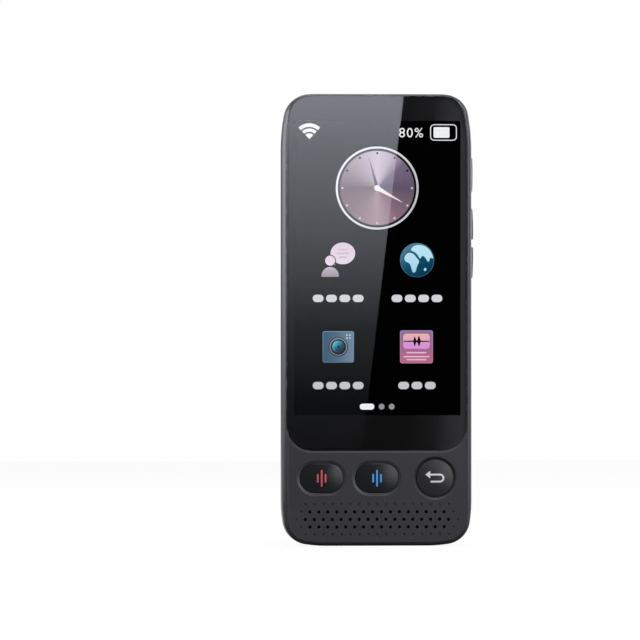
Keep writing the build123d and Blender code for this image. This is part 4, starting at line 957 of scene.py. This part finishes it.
def dome(name, x, z, radius, edge_y, rise, turns=64, rings=10):
    """A shallow lens facing the rear, with a flat front."""
    shape = bmesh.new()
    rows = []
    for step in range(1, rings + 1):
        away = radius * step / rings
        lift = rise * (1 - (away / radius) ** 2)
        rows.append([shape.verts.new((x + away * cos(2 * pi * t / turns), edge_y + lift,
                                      z + away * sin(2 * pi * t / turns))) for t in range(turns)])
    top = shape.verts.new((x, edge_y + rise, z))
    for t in range(turns):
        shape.faces.new((rows[0][t], rows[0][(t + 1) % turns], top))
    for inner, outer in zip(rows, rows[1:]):
        for t in range(turns):
            shape.faces.new((inner[t], outer[t], outer[(t + 1) % turns], inner[(t + 1) % turns]))
    shape.faces.new(rows[-1])
    for vertex in shape.verts:
        vertex.co *= MM
    bmesh.ops.recalc_face_normals(shape, faces=shape.faces)
    for face in shape.faces[:-1]:
        face.smooth = True
    return shaped(name, shape)


def coat_and_painted_glint(name, reach, flare, *stops):
    """Coated glass with painted glints: colours by shares of its reach, drawn out by the flare into a star of
    painted highlight.
    """
    made, tree, shader = principled(name, (*stops[0][1:], 1), 0.05, Coat_Weight=1.0)
    flat = flat_from(tree, camera_middle)
    share = share_of(tree, vectors(tree, "LENGTH", flat).outputs["Value"], 0, reach)
    parts = put(tree, "ShaderNodeSeparateXYZ", {0: flat}).outputs
    angle = sums(tree, "ARCTAN2", parts["Z"], parts["X"])
    wave = sums(tree, "COSINE", sums(tree, "MULTIPLY_ADD", angle, GLINT_POINTS, GLINT_TURN))
    fade = sums(tree, "MULTIPLY_ADD", share, -flare, flare)
    star = sums(tree, "MULTIPLY", share, sums(tree, "MULTIPLY_ADD", wave, fade, 1.0))
    colours = ramped(tree, star, [(position, (*colour, 1)) for position, *colour in stops])
    feed(tree, shader.inputs, Base_Color=colours)
    return made


# The white middle and the four-pointed star of the front lens are painted highlights; its blues and violets
# are the coat.
lens_coat_and_glint = coat_and_painted_glint("lens_coat_and_glint", LENS_REACH, 0.55,
                   (0.0, 0.95, 0.97, 1.0), (0.22, 0.62, 0.74, 1.0), (0.42, 0.12, 0.14, 0.50),
                   (0.68, 0.20, 0.34, 0.72), (0.88, 0.13, 0.12, 0.36), (1.0, 0.05, 0.05, 0.10))
pupil_coat = coat_and_painted_glint("pupil_coat", PUPIL_REACH, 0.0, (0.0, 0.05, 0.09, 0.26), (0.45, 0.05, 0.05, 0.20),
                    (0.8, 0.09, 0.03, 0.14), (1.0, 0.004, 0.004, 0.006))
dress(lens_coat_and_glint, "front_lens")
barrel_steps = grown("barrel_steps", make_rings(), Count=STEPS, First=STEP_FIRST * MM,
                     Step=STEP_OUT * MM, Wire=STEP_WIRE * MM, Material=barrel_black,
                     Place=(camera_x * MM, camera_high.y * MM, camera_z * MM))
fit(barrel_steps, "device")
fit(dome("inner_lens", camera_x, camera_z, INNER_LENS, INNER_LENS_Y, INNER_LENS_RISE),
    "device", pupil_coat)

# ---------------- rear slot
# A small black insert in the slot above the camera, drilled with three ports of the rear
# microphone behind it.

dress(grained("insert_black", (0.003, 0.003, 0.0035, 1), 0.5, 0.10, 0.006, Specular_IOR_Level=0.2),
      "rear_mic_insert")
dress(grained("boot_rubber", (0.010, 0.010, 0.010, 1), 0.8, 0.15, 0.02, spread=0.1),
      "rear_mic_boot", "front_mic_boot", "speaker_gaskets", "battery_pad")

# ---------------- charging socket
# A folded shell of brushed steel round a moulded tongue, with gold contacts on both faces.

BRUSH_PITCH = 0.05
BRUSHED_TONE = (0.4, 0.8)
ALONG_Z = (1.0, 1.0, 0.05)
ALONG_X = (0.05, 1.0, 1.0)
NO_WAY = (1.0, 1.0, 1.0)
CONTACTS = 12
CONTACT_PITCH = 0.5
CONTACT_SIZE = (0.25, 0.04, 3.2)
CONTACT_Z = 3.0
CONTACT_OUT = 0.35


def make_brushed():
    """Fine scratches along one way, as rolled or brushed sheet has: their height, and a tone."""
    tree, given, result = start_pattern("brushed_lines", {"Stretch": (1.0, 1.0, 0.04), "Pitch": 0.05},
                                        "Height", "Tone")
    drawn = vectors(tree, "MULTIPLY", where(tree), given["Stretch"])
    lines = put(tree, "ShaderNodeTexNoise",
                {"Vector": drawn, "Scale": cells_of(tree, given), "Detail": 2.0})
    return end_lines(tree, result, lines, *BRUSHED_TONE)


def brushed(name, colour, roughness, stretch, relief=0.003):
    """Metal with fine lines along the axis whose stretch is small."""
    return lined(name, colour, roughness, brushed_lines, {"Stretch": stretch, "Pitch": BRUSH_PITCH},
                 relief, Metallic=1.0)


brushed_lines = make_brushed()
dress(brushed("socket_steel", (0.56, 0.56, 0.55, 1), 0.30, ALONG_Z), "usb_shell")
dress(grained("tongue_black", (0.012, 0.012, 0.013, 1), 0.45, 0.10, 0.004, edge=KEY_EDGE_WEAR_AND_HIGHLIGHT), "usb_tongue")
contact_gold = brushed("contact_gold", (0.80, 0.58, 0.24, 1), 0.25, ALONG_Z, relief=0.001)
socket_low, socket_high = millimetres("usb_shell")
socket_y = (socket_low.y + socket_high.y) / 2
contact_row = make_row("contacts", "GeometryNodeMeshCube", Size=(0.001, 0.001, 0.001))
contacts = joined("tongue_contacts", [
    grown(f"contacts_{side}", contact_row, Count=CONTACTS, Pitch=CONTACT_PITCH * MM,
          Size=tuple(length * MM for length in CONTACT_SIZE), Material=contact_gold,
          Place=(0.0, (socket_y + side * CONTACT_OUT) * MM, CONTACT_Z * MM))
    for side in (-1, 1)])
fit(contacts, "device")

# ---------------- inner parts
# What the casing holds: boards with their parts, cells, speakers and films. They are out of
# sight when the casing is closed, and are painted as what they are made of.

dress(grained("board_green", (0.012, 0.055, 0.028, 1), 0.38, 0.4, 0.008, drift=0.3, Coat_Weight=0.4),
      "key_board", "main_board", "sub_board")
dress(grained("chip_black", (0.016, 0.016, 0.017, 1), 0.55, 0.08, 0.006), "board_chips")
dress(brushed("can_steel", (0.60, 0.60, 0.59, 1), 0.30, ALONG_X), "shield_cans", "key_switches",
      "side_switches", "front_microphone", "rear_microphone", "vibration_motor")
dress(brushed("screw_black", (0.10, 0.10, 0.105, 1), 0.35, NO_WAY), "board_screws", "key_board_screws")
dress(grained("amber_film", (0.34, 0.13, 0.02, 1), 0.32, 0.3, 0.004, drift=0.3),
      "display_flex", "side_key_strip", "main_flex", "battery_lead", "wifi_antenna")
dress(brushed("cell_pouch", (0.42, 0.43, 0.45, 1), 0.36, (1.0, 1.0, 0.3), relief=0.02), "battery")
dress(grained("inner_moulding", (0.014, 0.014, 0.014, 1), 0.5, 0.12, 0.006, edge=KEY_EDGE_WEAR_AND_HIGHLIGHT),
      "left_speaker_frame", "right_speaker_frame", *[name for name in nodes if name.endswith("_plunger")])
dress(grained("cone_film", (0.05, 0.05, 0.055, 1), 0.35, 0.2, 0.005),
      "left_speaker_diaphragm", "right_speaker_diaphragm")
dress(brushed("magnet_plate", (0.38, 0.38, 0.37, 1), 0.28, NO_WAY),
      "left_speaker_magnet", "right_speaker_magnet")

# ---------------- studio
# A white room with a large lamp at the right and weaker ones at the left, above and behind.
# Cards and black flags that only shiny surfaces see lay the sheen on the glass and the rims.

AIM = Vector((-0.0171, -0.0058, 0.06763))
CAMERA_AWAY = 1.494
CAMERA_TURN = radians(3.6)
FRAME_WIDTH = 0.19146
SENSOR = 36.0
ROOM_LIGHT = 0.42
FLOOR_GREY = 0.45
FLOOR_GLOW = 1.12
FLOOR_SHARE = 0.8
FLOOR = 900
LAMPS = (("key_lamp", (0.95, -0.85, 0.6), 0.07, 0.8, 10.6), ("edge_lamp", (-1.0, -0.25, 0.6), 0.10, 0.5, 2.5),
         ("top_lamp", (0.0, -0.35, 1.1), 0.10, 0.6, 4), ("rear_lamp", (1.1, 0.5, 0.3), 0.07, 0.4, 5.5))

camera_data = bpy.data.cameras.new("camera")
camera_data.sensor_width = SENSOR
camera_data.lens = SENSOR * CAMERA_AWAY / FRAME_WIDTH
camera_data.clip_start = 0.05
camera = new_piece("camera", camera_data)
camera.location = AIM - CAMERA_AWAY * Vector((sin(CAMERA_TURN), cos(CAMERA_TURN), 0))
camera.rotation_euler = (pi / 2, 0, -CAMERA_TURN)
scene.camera = camera
scene.view_settings.view_transform = "Standard"


def looking(tree):
    """1 where the camera looks, straight, in a reflection or through glass, and 0 for other light."""
    rays = put(tree, "ShaderNodeLightPath").outputs
    shiny = sums(tree, "MAXIMUM", rays["Is Camera Ray"], rays["Is Glossy Ray"])
    return sums(tree, "MAXIMUM", shiny, rays["Is Transmission Ray"])


room = bpy.data.worlds.new("room")
room.use_nodes = True
scene.world = room
background = room.node_tree.nodes["Background"]
background.inputs["Color"].default_value = (1, 1, 1, 1)
strength = remap(room.node_tree, looking(room.node_tree), 0.0, 1.0, ROOM_LIGHT, 1.0)
feed(room.node_tree, background.inputs, Strength=strength)

for name, place, height, size, power in LAMPS:
    lamp = bpy.data.lights.new(name, "AREA")
    lamp.size = size
    lamp.energy = power
    holder = new_piece(name, lamp)
    holder.location = place
    holder.rotation_euler = (Vector((0, 0, height)) - Vector(place)).to_track_quat("-Z", "Y").to_euler()


def spread(low, high):
    """Corners of a level or an upright sheet between two opposite ones."""
    (x, y, z), (far_x, far_y, top) = low, high
    if z == top:
        return [(x, y, z), (far_x, y, z), (far_x, far_y, z), (x, far_y, z)]
    return [(x, y, z), (far_x, far_y, z), (far_x, far_y, top), (x, y, top)]


def flat_sheet(name, corners, made):
    """A flat four-sided piece of the studio."""
    mesh = bpy.data.meshes.new(name)
    mesh.from_pydata([tuple(c * MM for c in corner) for corner in corners], [], [(0, 1, 2, 3)])
    mesh.materials.append(made)
    piece = new_piece(name, mesh)
    return piece


def floor_material():
    """White to the camera with the soft shadow of what stands on it, and a plain grey otherwise."""
    made, tree, shader = principled("floor_white", (FLOOR_GREY, FLOOR_GREY, FLOOR_GREY, 1), 0.9)
    glow = put(tree, "ShaderNodeEmission", {"Color": (1, 1, 1, 1), "Strength": FLOOR_GLOW})
    outputs_mixed(tree, sums(tree, "MULTIPLY", looking(tree), FLOOR_SHARE), shader, glow)
    return made


def card_light(name, stops, tint=(1, 1, 1)):
    """Light of a card whose strength changes with height: pairs of a height and a level."""
    made = bpy.data.materials.new(name)
    made.use_nodes = True
    tree = made.node_tree
    tree.nodes.remove(tree.nodes["Principled BSDF"])
    low, high = stops[0][0], stops[-1][0]
    peak = max(level for _, level in stops)
    height = put(tree, "ShaderNodeSeparateXYZ", {0: where(tree)}).outputs["Z"]
    shades = [((z - low) / (high - low), (*[level / peak * t for t in tint], 1)) for z, level in stops]
    glow = put(tree, "ShaderNodeEmission",
               {"Strength": peak, "Color": ramped(tree, share_of(tree, height, low, high), shades)})
    feed(tree, tree.nodes["Material Output"].inputs, Surface=glow)
    return made


flat_sheet("floor", spread((-FLOOR, -FLOOR, -0.02), (FLOOR, FLOOR, -0.02)), floor_material())

# Cards and flags, in millimetres: the lights change with height, and the flags are black.
CARD_Y = -60
FLAG_Y = -1720
SHEEN = ((28, 0.026), (43, 0.055), (65, 0.225), (77, 0.485), (99, 1.05), (121, 1.66), (135, 2.40),
         (150, 2.60))
SHEEN_TINT = (0.95, 1.0, 1.10)
SHEEN_LEFT = -31
SHEEN_SLANT = ((-0.4772, 28), (13.87, 150))
SIDE_GLOW = ((0, 1.2), (38, 1.5), (75, 3.4), (118, 5.2), (160, 5.6))
RIM_GLOW = ((0, 0.4), (30, 0.5), (42, 1.4), (75, 3.2), (118, 5.0), (160, 5.4))
REAR_GLOW = ((0, 1.4), (60, 2.8), (160, 4.2))
flag_black = principled("flag_black", (0, 0, 0, 1), 1.0, Specular_IOR_Level=0.0)[0]
(slant_low, sheen_low), (slant_high, sheen_high) = SHEEN_SLANT
sheen_corners = [(SHEEN_LEFT, CARD_Y, sheen_low), (slant_low, CARD_Y, sheen_low),
                 (slant_high, CARD_Y, sheen_high), (SHEEN_LEFT, CARD_Y, sheen_high)]
CARDS = (
    ("sheen_card", sheen_corners, card_light("sheen_light", SHEEN, SHEEN_TINT)),
    ("side_card", spread((-110, -150, 0.5), (-110, 20, 160)), card_light("side_light", SIDE_GLOW)),
    ("rim_card", spread((-110, CARD_Y, 0.5), (-31.5, CARD_Y, 160)), card_light("rim_light", RIM_GLOW)),
    ("top_card", spread((-60, -50, 190), (8, 120, 190)), card_light("top_light", ((189, 3.0), (191, 3.0)))),
    ("dark_flag", spread((-1080, FLAG_Y, -500), (350, FLAG_Y, 700)), flag_black),
    ("floor_flag", [(-700, -900, 0.3), (215, -900, 0.3), (2, -8, 0.3), (-700, -8, 0.3)], flag_black),
    ("near_flag", spread((2, -160, 0.25), (70, -8, 0.25)), flag_black),
    ("glare_flag", spread((-26.6, -6.3, 12), (-23.5, CARD_Y, 190)), flag_black),
    ("base_flag", spread((-60, -8, 0.05), (60, -3.6, 0.05)), flag_black),
    ("right_flag", spread((110, -70, 0.5), (110, 20, 180)), flag_black),
    ("rear_flag", spread((-900, -FLAG_Y, -500), (900, -FLAG_Y, 700)), flag_black),
    ("roof_flag", spread((-60, 7, 150), (60, 200, 150)), flag_black),
    ("rear_card", spread((110, 20, 0.5), (110, 150, 160)), card_light("rear_light", REAR_GLOW)),
    ("glint_card", spread((-330, 900, 300), (-190, 900, 440)),
     card_light("glint_light", ((0, 34.0), (600, 34.0)))),
    ("window_card", spread((350, FLAG_Y + 20, -500), (810, FLAG_Y + 20, 700)),
     card_light("window_light", ((-500, 1.96), (700, 1.96)))),
)
for name, corners, made in CARDS:
    piece = flat_sheet(name, corners, made)
    piece.visible_camera = False
    piece.visible_diffuse = False
    piece.visible_shadow = False
